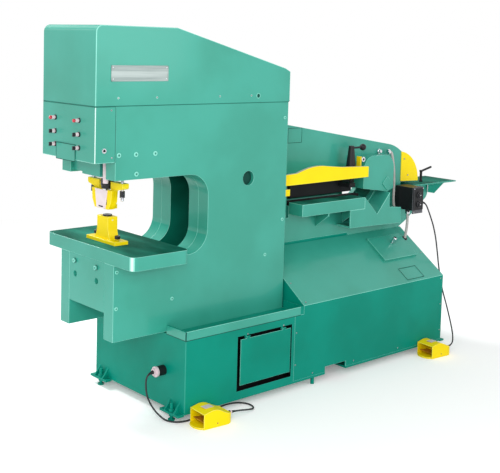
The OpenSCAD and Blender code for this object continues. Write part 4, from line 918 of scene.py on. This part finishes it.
@dataclass(frozen=True)
class Plaques:
    """The blank brushed nameplate, its rim and rivets, and the other blank labels.

    A label is given by its middle, its width and its height, in millimetres.
    """

    plate_y: float = -270.0
    rim: float = 5.0
    rim_proud: float = 1.2
    rim_sunk: float = 0.5
    rivet_r: float = 3.0
    rivet_inset: float = 12.0
    rule: float = 3.0
    rule_depth: float = 0.6
    shear_label: tuple = ((6, -38, 1524), 126, 96)
    cover_label: tuple = ((832, -389, 564.8), 180, 104)
    cover_slope: tuple = (0, 132, 91.4)

    def build(self) -> bpy.types.Object:
        """Makes the nameplate.

        Returns:
            The nameplate's object.
        """
        low, high = place_of("nameplate")
        work = Maker("blank_nameplate")
        work.slab(Look.BRUSHED, low, (high.x, self.plate_y, high.z), 0.6)
        for a, b in (((low.x, low.z), (high.x, low.z + self.rim)),
                     ((low.x, high.z - self.rim), (high.x, high.z)),
                     ((low.x, low.z), (low.x + self.rim, high.z)),
                     ((high.x - self.rim, low.z), (high.x, high.z))):
            work.slab(Look.BRUSHED, (a[0], low.y - self.rim_proud, a[1]),
                      (b[0], low.y + self.rim_sunk, b[1]), 0.5)
        for x in (low.x + self.rivet_inset, high.x - self.rivet_inset):
            for z in (low.z + self.rivet_inset, high.z - self.rivet_inset):
                work.turn(Look.CHROME, Vector((x, low.y, z)) * MM, -Y,
                          [(0, 0), (0, self.rivet_r), (1, self.rivet_r * 0.8), (1.6, 0)], 16)
        return work.done(FRAME, ("nameplate",))

    def rule_round(self, work: Maker, middle: Vector, along: Vector, up: Vector, wide: float,
                   high: float) -> None:
        """Rules a thin dark frame round a place that is left blank.

        Args:
            work: The piece on the bench.
            middle: The frame's middle in millimetres.
            along: The direction of its width.
            up: The direction of its height.
            wide: Its width in millimetres.
            high: Its height in millimetres.
        """
        out = along.cross(up)
        for way, across, long, gap in ((along, up, wide, high), (up, along, high, wide)):
            for side in (-0.5, 0.5):
                at = middle + across * side * gap + out * self.rule_depth / 2
                turn = Matrix((way, way.cross(out), out)).transposed().to_4x4()
                size = Matrix.Diagonal((long * MM, self.rule * MM, self.rule_depth * MM, 1))
                fit = Matrix.Translation(at * MM) @ turn @ size
                corners = bmesh.ops.create_cube(work.shape, size=1.0, matrix=fit)["verts"]
                work.paint(faces_of(corners), Look.GREEN_SEAM)

    def labels(self) -> bpy.types.Object:
        """Makes the blank labels on the shear's plate, the cover's slope and the control box.

        Returns:
            The object with all of them.
        """
        work = Maker("blank_labels")
        middle, wide, tall = self.shear_label
        self.rule_round(work, Vector(middle), X, Z, wide, tall)
        middle, wide, tall = self.cover_label
        self.rule_round(work, Vector(middle), X, Vector(self.cover_slope).normalized(), wide, tall)
        low, high = place_of("access_panel")
        middle = Vector((low.x, (low.y + high.y) / 2, (low.z + high.z) / 2))
        self.rule_round(work, middle, -Y, Z, high.y - low.y, high.z - low.z)
        return work.done(FRAME)


# ---------- controls on the head ----------


@dataclass(frozen=True)
class Controls:
    """The push buttons and the selectors on the front cover, their bezels, and the side latch.

    The ring is the width of a bezel's open ring in millimetres, and the barrel's share is how much of
    a control's length its bright barrel takes up.
    """

    barrel_share: float = 0.72
    knurls: int = 24
    ring: float = 4.6
    grip_half: float = 3.5

    def bezels(self) -> bpy.types.Object:
        """Makes the black bezels as open rings, so that the controls pass through them.

        Returns:
            The bezels' object.
        """
        work = Maker("bezels")
        for low, high in solids_of("control_bezels"):
            r, long = (high.y - low.y) / 2, high.x - low.x
            inner = r - self.ring
            work.turn(Look.BLACK, face_of(low, high, X), -X,
                      [(0, inner), (0, r), (long - 4, r), (long - 2, r - 1.5), (long - 2, r - 3),
                       (long, r - 4), (long, inner), (0, inner)])
        return work.done(FRAME, ("control_bezels",))

    def latch(self) -> bpy.types.Object:
        """Makes the dark eye of the side latch, a black disc painted as the shade in its hole.

        Returns:
            The eye's object.
        """
        low, high = place_of("side_latch")
        work = Maker("latch_eye")
        middle = Vector(((low.x + high.x) / 2, low.y, high.z - (high.x - low.x) / 2)) * MM
        work.turn(Look.SHADOW, middle, -Y, [(-2, 0), (-2, 7), (1.5, 7), (2.4, 5.5), (2.4, 0)], 24)
        return work.done("side_latch")

    def button(self, node: str) -> bpy.types.Object:
        """Makes a push button with a bright barrel and a red mushroom cap.

        Args:
            node: The CAD node.

        Returns:
            The button's object.
        """
        low, high = place_of(node)
        r, long = (high.y - low.y) / 2, high.x - low.x
        seat = face_of(low, high, X)
        work = Maker("cap_" + node)
        neck = long * self.barrel_share
        work.turn(Look.NICKEL, seat, -X, [(0, 0), (0, r - 1), (neck - 2, r - 1), (neck, r - 2), (neck, 0)])
        work.turn(Look.RED, seat, -X, [(neck - 1, 0), (neck, r - 2), (neck + 2, r - 1), (long - 5, r - 1),
                                       (long - 2, r - 3), (long - 0.5, r - 7), (long, 0)])
        return work.done(BODIES[node], (node,))

    def selector(self, node: str) -> bpy.types.Object:
        """Makes a key-like selector: a bright knurled barrel with a black grip.

        Args:
            node: The CAD node.

        Returns:
            The selector's object.
        """
        low, high = place_of(node)
        r, long = (high.y - low.y) / 2, high.x - low.x
        middle = Vector((high.x, (low.y + high.y) / 2, (low.z + high.z) / 2))
        work = Maker("grip_" + node)
        neck = long * self.barrel_share
        work.turn(Look.NICKEL, middle * MM, -X,
                  [(0, 0), (0, r - 1), (neck - 3, r - 1), (neck, r - 2), (neck, 0)])
        for i in range(self.knurls):
            spoke = Matrix.Rotation(math.tau * i / self.knurls, 3, "X") @ Vector((0, 0, r - 1))
            foot = (middle + spoke + Vector((-neck * 0.35, 0, 0))) * MM
            work.prism(Look.NICKEL, foot, -X, 1.6, neck * 0.4, 4, 0.2)
        work.slab(Look.BLACK, (middle.x - long, middle.y - self.grip_half, middle.z - r),
                  (middle.x - neck + 3, middle.y + self.grip_half, middle.z + r), 1.4, Look.BLACK_EDGE)
        work.turn(Look.BLACK, middle * MM, -X,
                  [(neck - 1, 0), (neck - 1, r - 1), (neck + 4, r - 1), (neck + 5, r - 2), (neck + 5, 0)])
        return work.done(BODIES[node], (node,))

    def build(self) -> None:
        """Makes all six controls and the latch."""
        self.latch()
        self.bezels()
        self.button("start_button")
        self.button("stop_button")
        for i in range(4):
            self.selector(f"selector_{i + 1}")


# ---------- punch station ----------


@dataclass(frozen=True)
class PunchStation:
    """The punch's turned pieces, its clear guard and the guide rod beside its cylinder.

    The block behind the rod is painted shade; its box is its lowest and highest X and Y, and its reach is
    over the cylinder's foot.
    """

    spanner_slots: int = 4
    guard_taper: float = 0.72
    slit: float = 44.0
    rod_r: float = 15.0
    rod_long: float = 128.0
    rod_drop: float = 30.0
    rod_place: tuple[float, float] = (-1522, -135)
    shade_x: tuple[float, float] = (-1500, -1480)
    shade_y: tuple[float, float] = (-179, -91)
    shade_reach: tuple[float, float] = (2, 98)

    def turned(self, node: str, name: str, look: Look, shape: list, sides: int = 48) -> bpy.types.Object:
        """Replaces an upright round node by a profile turned about its axis.

        Args:
            node: The CAD node.
            name: The piece's name.
            look: Its finish.
            shape: Pairs of shares, along the axis from its foot and out to its radius.
            sides: How many sides the round has.

        Returns:
            The piece's object.
        """
        low, high = place_of(node)
        tall, r = high.z - low.z, (high.x - low.x) / 2
        foot = face_of(low, high, -Z)
        work = Maker(name)
        work.turn(look, foot, Z, [(up * tall, out * r) for up, out in shape], sides)
        return work.done(BODIES[node], (node,))

    def nut(self) -> bpy.types.Object:
        """Makes the coupling nut with its grooves and spanner slots.

        Returns:
            The nut's object.
        """
        low, high = place_of("coupling_nut")
        tall, r = high.z - low.z, (high.x - low.x) / 2
        foot = face_of(low, high, -Z)
        work = Maker("ring_nut")
        work.turn(Look.DARK_STEEL, foot, Z, [
            (0, 0), (0, r - 8), (4, r - 3), (tall * 0.3, r - 3), (tall * 0.3 + 2, r), (tall * 0.55, r),
            (tall * 0.55 + 1.5, r - 1.5), (tall * 0.55 + 3, r), (tall - 3, r), (tall, r - 3), (tall, 0)], 64)
        # The spanner slots are shallow black blocks, painted shade for their hollows
        for i in range(self.spanner_slots):
            way = Matrix.Rotation(math.tau * (i + 0.5) / self.spanner_slots, 3, "Z") @ X
            work.prism(Look.SHADOW, foot + (way * (r - 3) + Z * tall * 0.72) * MM, way, 10, 3.4, 20, 0.3)
        return work.done("ram_body", ("coupling_nut",))

    def stripper_nuts(self) -> bpy.types.Object:
        """Makes the nuts that hold the stripper on its studs.

        Returns:
            The nuts' object.
        """
        work = Maker("stud_nuts")
        for low, high in solids_of("stripper_nuts"):
            foot = face_of(low, high, -Z)
            tall, r = high.z - low.z, (high.x - low.x) / 2
            work.turn(Look.DARK_STEEL, foot, Z, [(0, 9.2), (0, r), (2.5, r), (2.5, 9.2)])
            work.prism(Look.DARK_STEEL, foot + Z * 2.5 * MM, Z, 2 * r, tall - 2.5, 6, 1.2)
        return work.done("stripper_body", ("stripper_nuts",))

    def guard(self) -> bpy.types.Object:
        """Makes the clear guard, which narrows downwards, and the slit at its foot, a black slab painted as
        the shade in the opening.

        Returns:
            The guard's object.
        """
        low, high = place_of("stripper_guard")
        work = Maker("clear_guard")
        work.slab(Look.GUARD, low, high, 0.8)
        foot = [corner for corner in work.shape.verts if corner.co.z < (low.z + high.z) / 2 * MM]
        bmesh.ops.scale(work.shape, vec=(1, self.guard_taper, 1), verts=foot)
        work.slab(Look.SHADOW, (low.x - 0.6, -self.slit / 2, low.z + 6),
                  (low.x + 1, self.slit / 2, low.z + 13), 0.5)
        return work.done("stripper_body", ("stripper_guard",))

    def guide_rod(self) -> bpy.types.Object:
        """Makes the polished rod in the slot beside the cylinder and the dark block of painted shade behind
        it.

        Returns:
            The rod's object.
        """
        floor = place_of("punch_cylinder")[0].z
        work = Maker("guide_rod")
        foot = Vector((*self.rod_place, floor - self.rod_drop)) * MM
        r, long = self.rod_r, self.rod_long
        work.turn(Look.NICKEL, foot, Z, [(0, 0), (0, r - 1.5), (1.5, r), (long, r), (long, 0)], 32)
        # A black block behind the rod, painted shade in the slot
        near, far = ((self.shade_x[i], self.shade_y[i], floor + self.shade_reach[i]) for i in (0, 1))
        work.slab(Look.SHADOW, near, far, 1)
        return work.done(FRAME)

    def build(self) -> None:
        """Makes the punch station's pieces."""
        self.guide_rod()
        self.guard()
        self.nut()
        self.stripper_nuts()
        self.turned("ram_gland", "gland_ring", Look.CHROME, [
            (0, 0), (0, 0.8), (0.06, 0.86), (0.3, 0.86), (0.34, 1), (0.94, 1), (1, 0.96), (1, 0)])
        self.turned("punch", "round_punch", Look.STEEL, [
            (0, 0), (0, 0.27), (0.22, 0.27), (0.25, 0.44), (0.9, 0.44), (0.92, 0.98), (0.98, 1), (1, 0.96),
            (1, 0)])
        self.turned("die", "round_die", Look.DARK_STEEL, [
            (0, 0.42), (0, 1), (0.9, 1), (1, 0.94), (1, 0.4), (0.96, 0.36), (0.2, 0.36), (0, 0.42)])


# ---------- pipes and reliefs ----------


def smooth_line(points: list, steps: int) -> list[Vector]:
    """Runs a smooth line through points.

    Args:
        points: The points in millimetres.
        steps: How many points come from each stretch.

    Returns:
        The line's points in metres.
    """
    corners = [Vector(p) * MM for p in points]
    line = []
    for i in range(len(corners) - 1):
        a, d = corners[i], corners[i + 1]
        before, after = corners[max(i - 1, 0)], corners[min(i + 2, len(corners) - 1)]
        b, c = a + (d - before) / 6, d - (after - a) / 6
        for k in range(steps):
            t = k / steps
            line.append(a * (1 - t) ** 3 + b * 3 * t * (1 - t) ** 2 + c * 3 * t * t * (1 - t) + d * t**3)
    return line + [corners[-1]]


def walk(line: list[Vector], stride: float, reach: float = math.inf) -> list[Vector]:
    """Steps evenly along a line.

    Args:
        line: The line's points in metres.
        stride: The length of a step in metres.
        reach: How far to go, in metres.

    Returns:
        The places stepped on.
    """
    places, gone, goal = [line[0].copy()], 0.0, stride
    for a, b in zip(line, line[1:]):
        long = (b - a).length
        while gone + long >= goal and goal <= reach + 1e-9:
            places.append(a.lerp(b, (goal - gone) / long))
            goal += stride
        gone += long
    return places


@dataclass(frozen=True)
class Pipework:
    """The ribbed conduits of the shear and the bright glands at their ends.

    A solid of the conduits' node that is shorter than stub_tall and stands over stub_z is the upper
    gland's stub. Lengths are in millimetres.
    """

    pipe_r: float = 9.2
    rib: float = 0.9
    pitch: float = 2.6
    steps: int = 8
    gland_set: float = 10.0
    nut_set: float = 9.0
    nut_across: float = 38.0
    nut_long: float = 18.0
    grommet_way: tuple[float, float, float] = (0, -0.57, 0.82)
    stub_tall: float = 60.0
    stub_z: float = 1300.0
    upper: tuple = ((913, -74, 1371), (942, -76, 1362), (960, -76, 1316), (978, -76, 1227), (984, -76, 1117),
                    (986, -76, 1007), (1002, -75, 960), (1040, -71, 920), (1050, -56, 908), (1052, -40, 905))
    lower: tuple = ((1060, -150, 931), (1062, -150, 864), (1058, -148, 804), (1045, -146, 742))

    def build(self) -> bpy.types.Object:
        """Makes the conduits.

        Returns:
            The conduits' object.
        """
        work = Maker("ribbed_conduits")
        for route in (self.upper, self.lower):
            line = walk(smooth_line(route, self.steps), self.pitch * MM)
            work.sleeve(Look.CONDUIT, line, [self.pipe_r + self.rib * (i % 2) for i in range(len(line))])
        for place, way in ((self.upper[0], X), (self.lower[0], Z)):
            seat = Vector(place) * MM
            work.turn(Look.CHROME, seat - way * self.gland_set * MM, way,
                      [(0, 0), (0, 12), (8, 12), (9, 14), (20, 14), (24, 10.5), (24, 0)], 24)
            work.prism(Look.CHROME, seat - way * self.nut_set * MM, way, self.nut_across, self.nut_long,
                       6, 1)
        end = Vector(self.lower[-1]) * MM
        work.turn(Look.BLACK, end, Vector(self.grommet_way),
                  [(-2, 8), (-2, 19), (2, 19), (5, 14), (5, 8), (-2, 8)], 24)
        for low, high in solids_of("conduits"):
            if high.z - low.z < self.stub_tall and low.z > self.stub_z:
                work.turn(Look.CHROME, face_of(low, high, Y), -Y,
                          [(0, 0), (0, 17), (12, 17), (12, 12), (28, 12), (30, 10), (30, 0)], 24)
        return work.done(FRAME, ("conduits",))


@dataclass(frozen=True)
class Relief:
    """A ribbed, tapered strain relief round a cord where it leaves a housing, in millimetres."""

    name: str
    long: float = 34.0
    thick: float = 9.0
    thin: float = 5.8
    pitch: float = 3.4
    groove: float = 0.7
    nut_share: float = 2.7
    nut_long: float = 9.0
    gland: Look = Look.NICKEL

    def build(self, line: list[Vector]) -> bpy.types.Object:
        """Makes the relief.

        Args:
            line: The cord's line in metres, from its exit.

        Returns:
            The relief's object.
        """
        work = Maker(self.name)
        places = walk(line, self.pitch / 2 * MM, self.long * MM)
        last = len(places) - 1
        radii = [self.thick + (self.thin - self.thick) * i / last - self.groove * (i % 2)
                 for i in range(last + 1)]
        work.sleeve(Look.BLACK, places, radii, 20)
        work.prism(self.gland, line[0], line[1] - line[0], self.thick * self.nut_share, self.nut_long, 6, 1)
        return work.done(FRAME)


@dataclass(frozen=True)
class Depths:
    """Painted shade: the dark insides that show through the frame's bores, the slug door's opening and the
    shear's slot.

    A bore is its X, Z and Y and its radius, and the door its place along the base, its foot, its
    width and its height, all in millimetres. The back closes the base's inside behind the door's
    opening, and the ledge and its tongue the shear's slot.
    """

    bores: tuple = ((-599, 1313, -245, 43.0), (-537, 1806, -268, 11.8))
    disc: float = 0.8
    door: tuple = (381, 97, 437, 326)
    wall: float = 12.0
    reveal: float = 0.5
    lining: float = 0.6
    back_gap: float = 30.0
    back_thick: float = 1.0
    back_margin: float = 25.0
    ledge: float = 90.0
    ledge_z: tuple[float, float] = (1000, 1073)
    ledge_thick: float = 3.0
    tongue: float = 140.0
    tongue_z: tuple[float, float] = (1035, 1080)
    lap: float = 1.0

    def build(self) -> bpy.types.Object:
        """Makes the dark linings, all of them painted shade.

        Returns:
            The object with all of them.
        """
        work = Maker("painted_shade_insides")
        # Dark discs in the bores, painted shade
        for x, z, y, r in self.bores:
            work.turn(Look.GREEN_SEAM, Vector((x, y, z)) * MM, -Y,
                      [(0, 0), (0, r), (self.disc, r), (self.disc, 0)], 48)
        base = place_of("base_frame")[0]
        along, foot, wide, tall = self.door
        x0, z0 = base.x + BRACKET + along, foot
        x1, z1 = x0 + wide, z0 + tall
        near, deep = base.y + self.reveal, base.y + self.wall
        for low, high in (((x0, z0), (x1, z0 + self.lining)), ((x0, z1 - self.lining), (x1, z1)),
                          ((x0, z0), (x0 + self.lining, z1)), ((x1 - self.lining, z0), (x1, z1))):
            work.slab(Look.SHADOW, (low[0], near, low[1]), (high[0], deep, high[1]), 0.1)
        more, back = self.back_margin, deep + self.back_gap
        work.slab(Look.SHADOW, (x0 - more, back, z0 - more),
                  (x1 + more, back + self.back_thick, z1 + more), 0.1)
        low, high = place_of("shear_table")
        back = high.y - self.ledge
        face = back + self.ledge_thick
        for left, right, (foot, top) in ((low.x, high.x, self.ledge_z),
                                         (high.x - self.lap, high.x + self.tongue, self.tongue_z)):
            work.slab(Look.GREEN_INNER, (left, back, foot), (right, face, top), 0.5)
        return work.done(FRAME)


# ---------- electric box ----------


@dataclass(frozen=True)
class ElectricBox:
    """The black control box's two sockets, and its lid's seam and screws."""

    screw_inset: float = 9.0
    seam: tuple[float, float] = (8.0, 10.5)
    seam_proud: float = 0.8

    def sockets(self) -> bpy.types.Object:
        """Makes the two bright-rimmed sockets.

        Returns:
            The sockets' object.
        """
        work = Maker("box_rings")
        for low, high in solids_of("box_sockets"):
            r, long = (high.x - low.x) / 2, high.y - low.y
            seat = face_of(low, high, Y)
            work.turn(Look.DARK_STEEL, seat, -Y, [(0, 0), (0, r), (5, r), (6, r - 1), (6, r - 4), (9, r - 5),
                                                  (long, r - 6), (long, r - 8)], 36)
            work.turn(Look.BLACK, seat, -Y, [(0, 0), (4, r - 5), (long - 1, r - 7), (long - 1, 0)], 36)
            work.prism(Look.CHROME, seat - Y * (long - 2) * MM, -Y, 10, 2.5, 6, 0.4)
        return work.done(FRAME, ("box_sockets",))

    def trim(self) -> bpy.types.Object:
        """Makes the lid's seam and screws.

        Returns:
            The trim's object.
        """
        low, high = place_of("control_box")
        work = Maker("box_trim")
        for x in (low.x + self.screw_inset, high.x - self.screw_inset):
            for z in (low.z + self.screw_inset, high.z - self.screw_inset):
                work.turn(Look.CHROME, Vector((x, low.y, z)) * MM, -Y,
                          [(-1, 0), (-1, 4), (1, 4), (2, 3), (2, 0)], 16)
        proud, (near, far) = self.seam_proud, self.seam
        work.slab(Look.BLACK_EDGE, (low.x - proud, low.y + near, low.z - proud),
                  (high.x + proud, low.y + far, high.z + proud), 0.4)
        return work.done(FRAME)

    def build(self) -> None:
        """Makes the box's pieces."""
        self.sockets()
        self.trim()


# ---------- foot pedals ----------


@dataclass(frozen=True)
class PedalTrim:
    """A pedal guard's blank roof label, laid on the guard's largest upper face."""

    node: str
    label_w: float = 58.0
    label_l: float = 44.0
    label_t: float = 1.2
    upward: float = 0.5

    def build(self) -> bpy.types.Object:
        """Makes the label.

        Returns:
            The label's object.
        """
        shape = bmesh.new()
        merge_into(shape, self.node)
        roof = max((face for face in shape.faces if face.normal.z > self.upward),
                   key=lambda face: face.calc_area() + face.calc_center_median().z)
        middle, up = roof.calc_center_median().copy(), roof.normal.copy()
        shape.free()
        work = Maker("label_" + self.node)
        turn = up.to_track_quat("Z", "Y").to_matrix().to_4x4()
        size = Matrix.Diagonal((self.label_w * MM, self.label_l * MM, self.label_t * MM, 1))
        fit = Matrix.Translation(middle) @ turn @ size
        corners = bmesh.ops.create_cube(work.shape, size=1.0, matrix=fit)["verts"]
        work.paint(faces_of(corners), Look.NICKEL)
        return work.done(FRAME)


# ---------- base ----------


@dataclass(frozen=True)
class BaseTrim:
    """The dark line under the tray's rolled lip, the lip itself and the front corner of the base. The line is
    a joint with painted shade under the lip; the lip is in the lighter enamel against the base's painted
    shade, its rim painted paler as a highlight, and the front corner is painted lighter as a highlight.
    """

    lip_drop: float = 50.0
    lip_rim: float = 2.5
    lip_wide: float = 2.0
    overrun: float = 46.0
    line: float = 4.0
    jaw_y: float = -270.0
    proud: float = 0.4
    sunk: float = 0.5
    corner: float = 4.0
    corner_foot: float = 60.0
    softening: float = 0.25

    def strip(self, work: Maker, look: Look, low: tuple, high: tuple) -> None:
        """Adds a thin strip with barely broken edges.

        Args:
            work: The piece on the bench.
            look: Its finish.
            low: Its lowest corner in millimetres.
            high: Its highest corner in millimetres.
        """
        work.slab(look, low, high, bevel=self.softening)

    def build(self) -> bpy.types.Object:
        """Makes the lines along the base.

        Returns:
            The object with them.
        """
        low, high = place_of("base_frame")
        front, side = low.x + BRACKET, low.y - self.proud
        joint, rim = high.z - self.lip_drop, high.z - self.lip_rim
        end = place_of("power_cover")[0].x + self.overrun
        work = Maker("base_lines")
        # The dark line under the lip is a joint with painted shade; the lip above it is in the lighter
        # enamel, against the base's painted shade
        for look, foot, top in ((Look.GREEN_SEAM, joint - self.line, joint), (Look.GREEN, joint, rim)):
            start = (front - self.proud, side, foot)
            self.strip(work, look, start, (end, low.y + self.sunk, top))
            self.strip(work, look, start, (front + self.sunk, self.jaw_y, top))
        # The front corner is painted lighter as a highlight
        self.strip(work, Look.GREEN_SATIN, (front - self.proud, side, self.corner_foot),
                   (front + self.corner, low.y + self.corner, high.z))
        # The rim is painted paler as a highlight
        self.strip(work, Look.GREEN_EDGE, (front, side, rim), (end, low.y + self.lip_wide, high.z))
        return work.done(FRAME)


# ---------- cords ----------


@dataclass(frozen=True)
class PlugCap:
    """The bright cap at the outer end of the plug on the base, with its radii in millimetres."""

    node: str = "cord_inlet"
    collar: float = 20.6
    flange: float = 30.4

    def build(self) -> bpy.types.Object:
        """Makes the cap.

        Returns:
            The cap's object.
        """
        seat = Vector((place_of(self.node)[0].x, *CORDS[0].route[0][1:])) * MM
        work = Maker("plug_cap")
        r, wide = self.collar, self.flange
        work.turn(Look.NICKEL, seat, X,
                  [(-0.4, 0), (-0.4, r - 1.6), (1, r), (11.5, r), (11.5, wide - 1.4), (13, wide), (24, wide),
                   (24, r)], 36)
        return work.done(FRAME)


@dataclass(frozen=True)
class PedalCord:
    """One pedal's cord, along its route in millimetres, with the pieces that it carries."""

    name: str
    node: str
    route: tuple
    steps: int = 6
    thickness: float = 10 * MM
    roundness: int = 4
    with_pieces: tuple = ()

    def centreline(self) -> list[Vector]:
        """The smooth line through the route's points, in metres."""
        return smooth_line(self.route, self.steps)

    def build(self) -> bpy.types.Object:
        """Returns:
            The cord's object.
        """
        data = bpy.data.curves.new(self.name, "CURVE")
        data.dimensions = "3D"
        data.bevel_depth = self.thickness / 2
        data.bevel_resolution = self.roundness
        data.use_fill_caps = True
        line = self.centreline()
        spline = data.splines.new("POLY")
        spline.points.add(len(line) - 1)
        for point, place in zip(spline.points, line):
            point.co = (*place, 1.0)
        data.materials.append(Look.CORD.made())
        cord = bpy.data.objects.new(self.name, data)
        bpy.context.scene.collection.objects.link(cord)
        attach(cord, FRAME)
        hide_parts(self.node)
        reliefs = [Relief(self.name + "_relief", gland=Look.BLACK).build(line),
                   Relief(self.name + "_end_relief").build(line[::-1])]
        return cord


CORDS = (
    PedalCord("pedal_cord_1", "cord_1", (
        (-1262.4, -250, 254), (-1268, -250, 254), (-1284, -250, 251), (-1297, -250, 242), (-1306, -250, 229),
        (-1309, -250, 213), (-1309, -250, 180), (-1301, -251, 130), (-1284, -257, 84), (-1267, -277, 45),
        (-1255, -310, 20), (-1247, -352, 7), (-1233, -394, 6), (-1200, -424, 6), (-1145, -436, 6),
        (-1070, -429, 6), (-980, -408, 6), (-885, -388, 6), (-806, -384, 6), (-750, -402, 6),
        (-719, -442, 6), (-718, -492, 6), (-744, -528, 9), (-790, -544, 18), (-850, -548, 29),
        (-901, -543.1, 34), (-932.5, -540.3, 35)),
        with_pieces=("cord_inlet", "plug_cap", "pedal_guard_1", "treadle_1")),
    PedalCord("pedal_cord_2", "cord_2", (
        (1156.4, -200, 1000), (1162, -200, 1000), (1178, -201, 997), (1191, -204, 989), (1200, -209, 976),
        (1204, -217, 958), (1203, -245, 906), (1196, -282, 838), (1186, -315, 758), (1177, -342, 660),
        (1171, -368, 545), (1169, -404, 410), (1170, -450, 290), (1170, -486, 190), (1168, -508, 125),
        (1158, -524, 80), (1136, -537, 51), (1099, -544.1, 37), (1067.5, -541.3, 35)),
        with_pieces=("pedal_guard_2", "treadle_2")),
)


def main() -> None:
    """Lights the studio and dresses the machine, one class of pieces after the other."""
    logging.basicConfig(level=logging.INFO, format="%(name)s: %(message)s")
    bpy.context.scene.view_settings.view_transform = "Standard"
    studio = Studio()
    studio.camera()
    for lamp in LAMPS:
        lamp.hang()
    studio.sky_light()
    studio.floor()
    dress_nodes()
    for plate in PLATES:
        plate.build()
    ScrewSet().build()
    Plaques().build()
    Plaques().labels()
    Controls().build()
    PunchStation().build()
    Pipework().build()
    Depths().build()
    ElectricBox().build()
    for node in ("pedal_guard_1", "pedal_guard_2"):
        PedalTrim(node).build()
    BaseTrim().build()
    PlugCap().build()
    for cord in CORDS:
        cord.build()


if __name__ == "__main__":
    main()
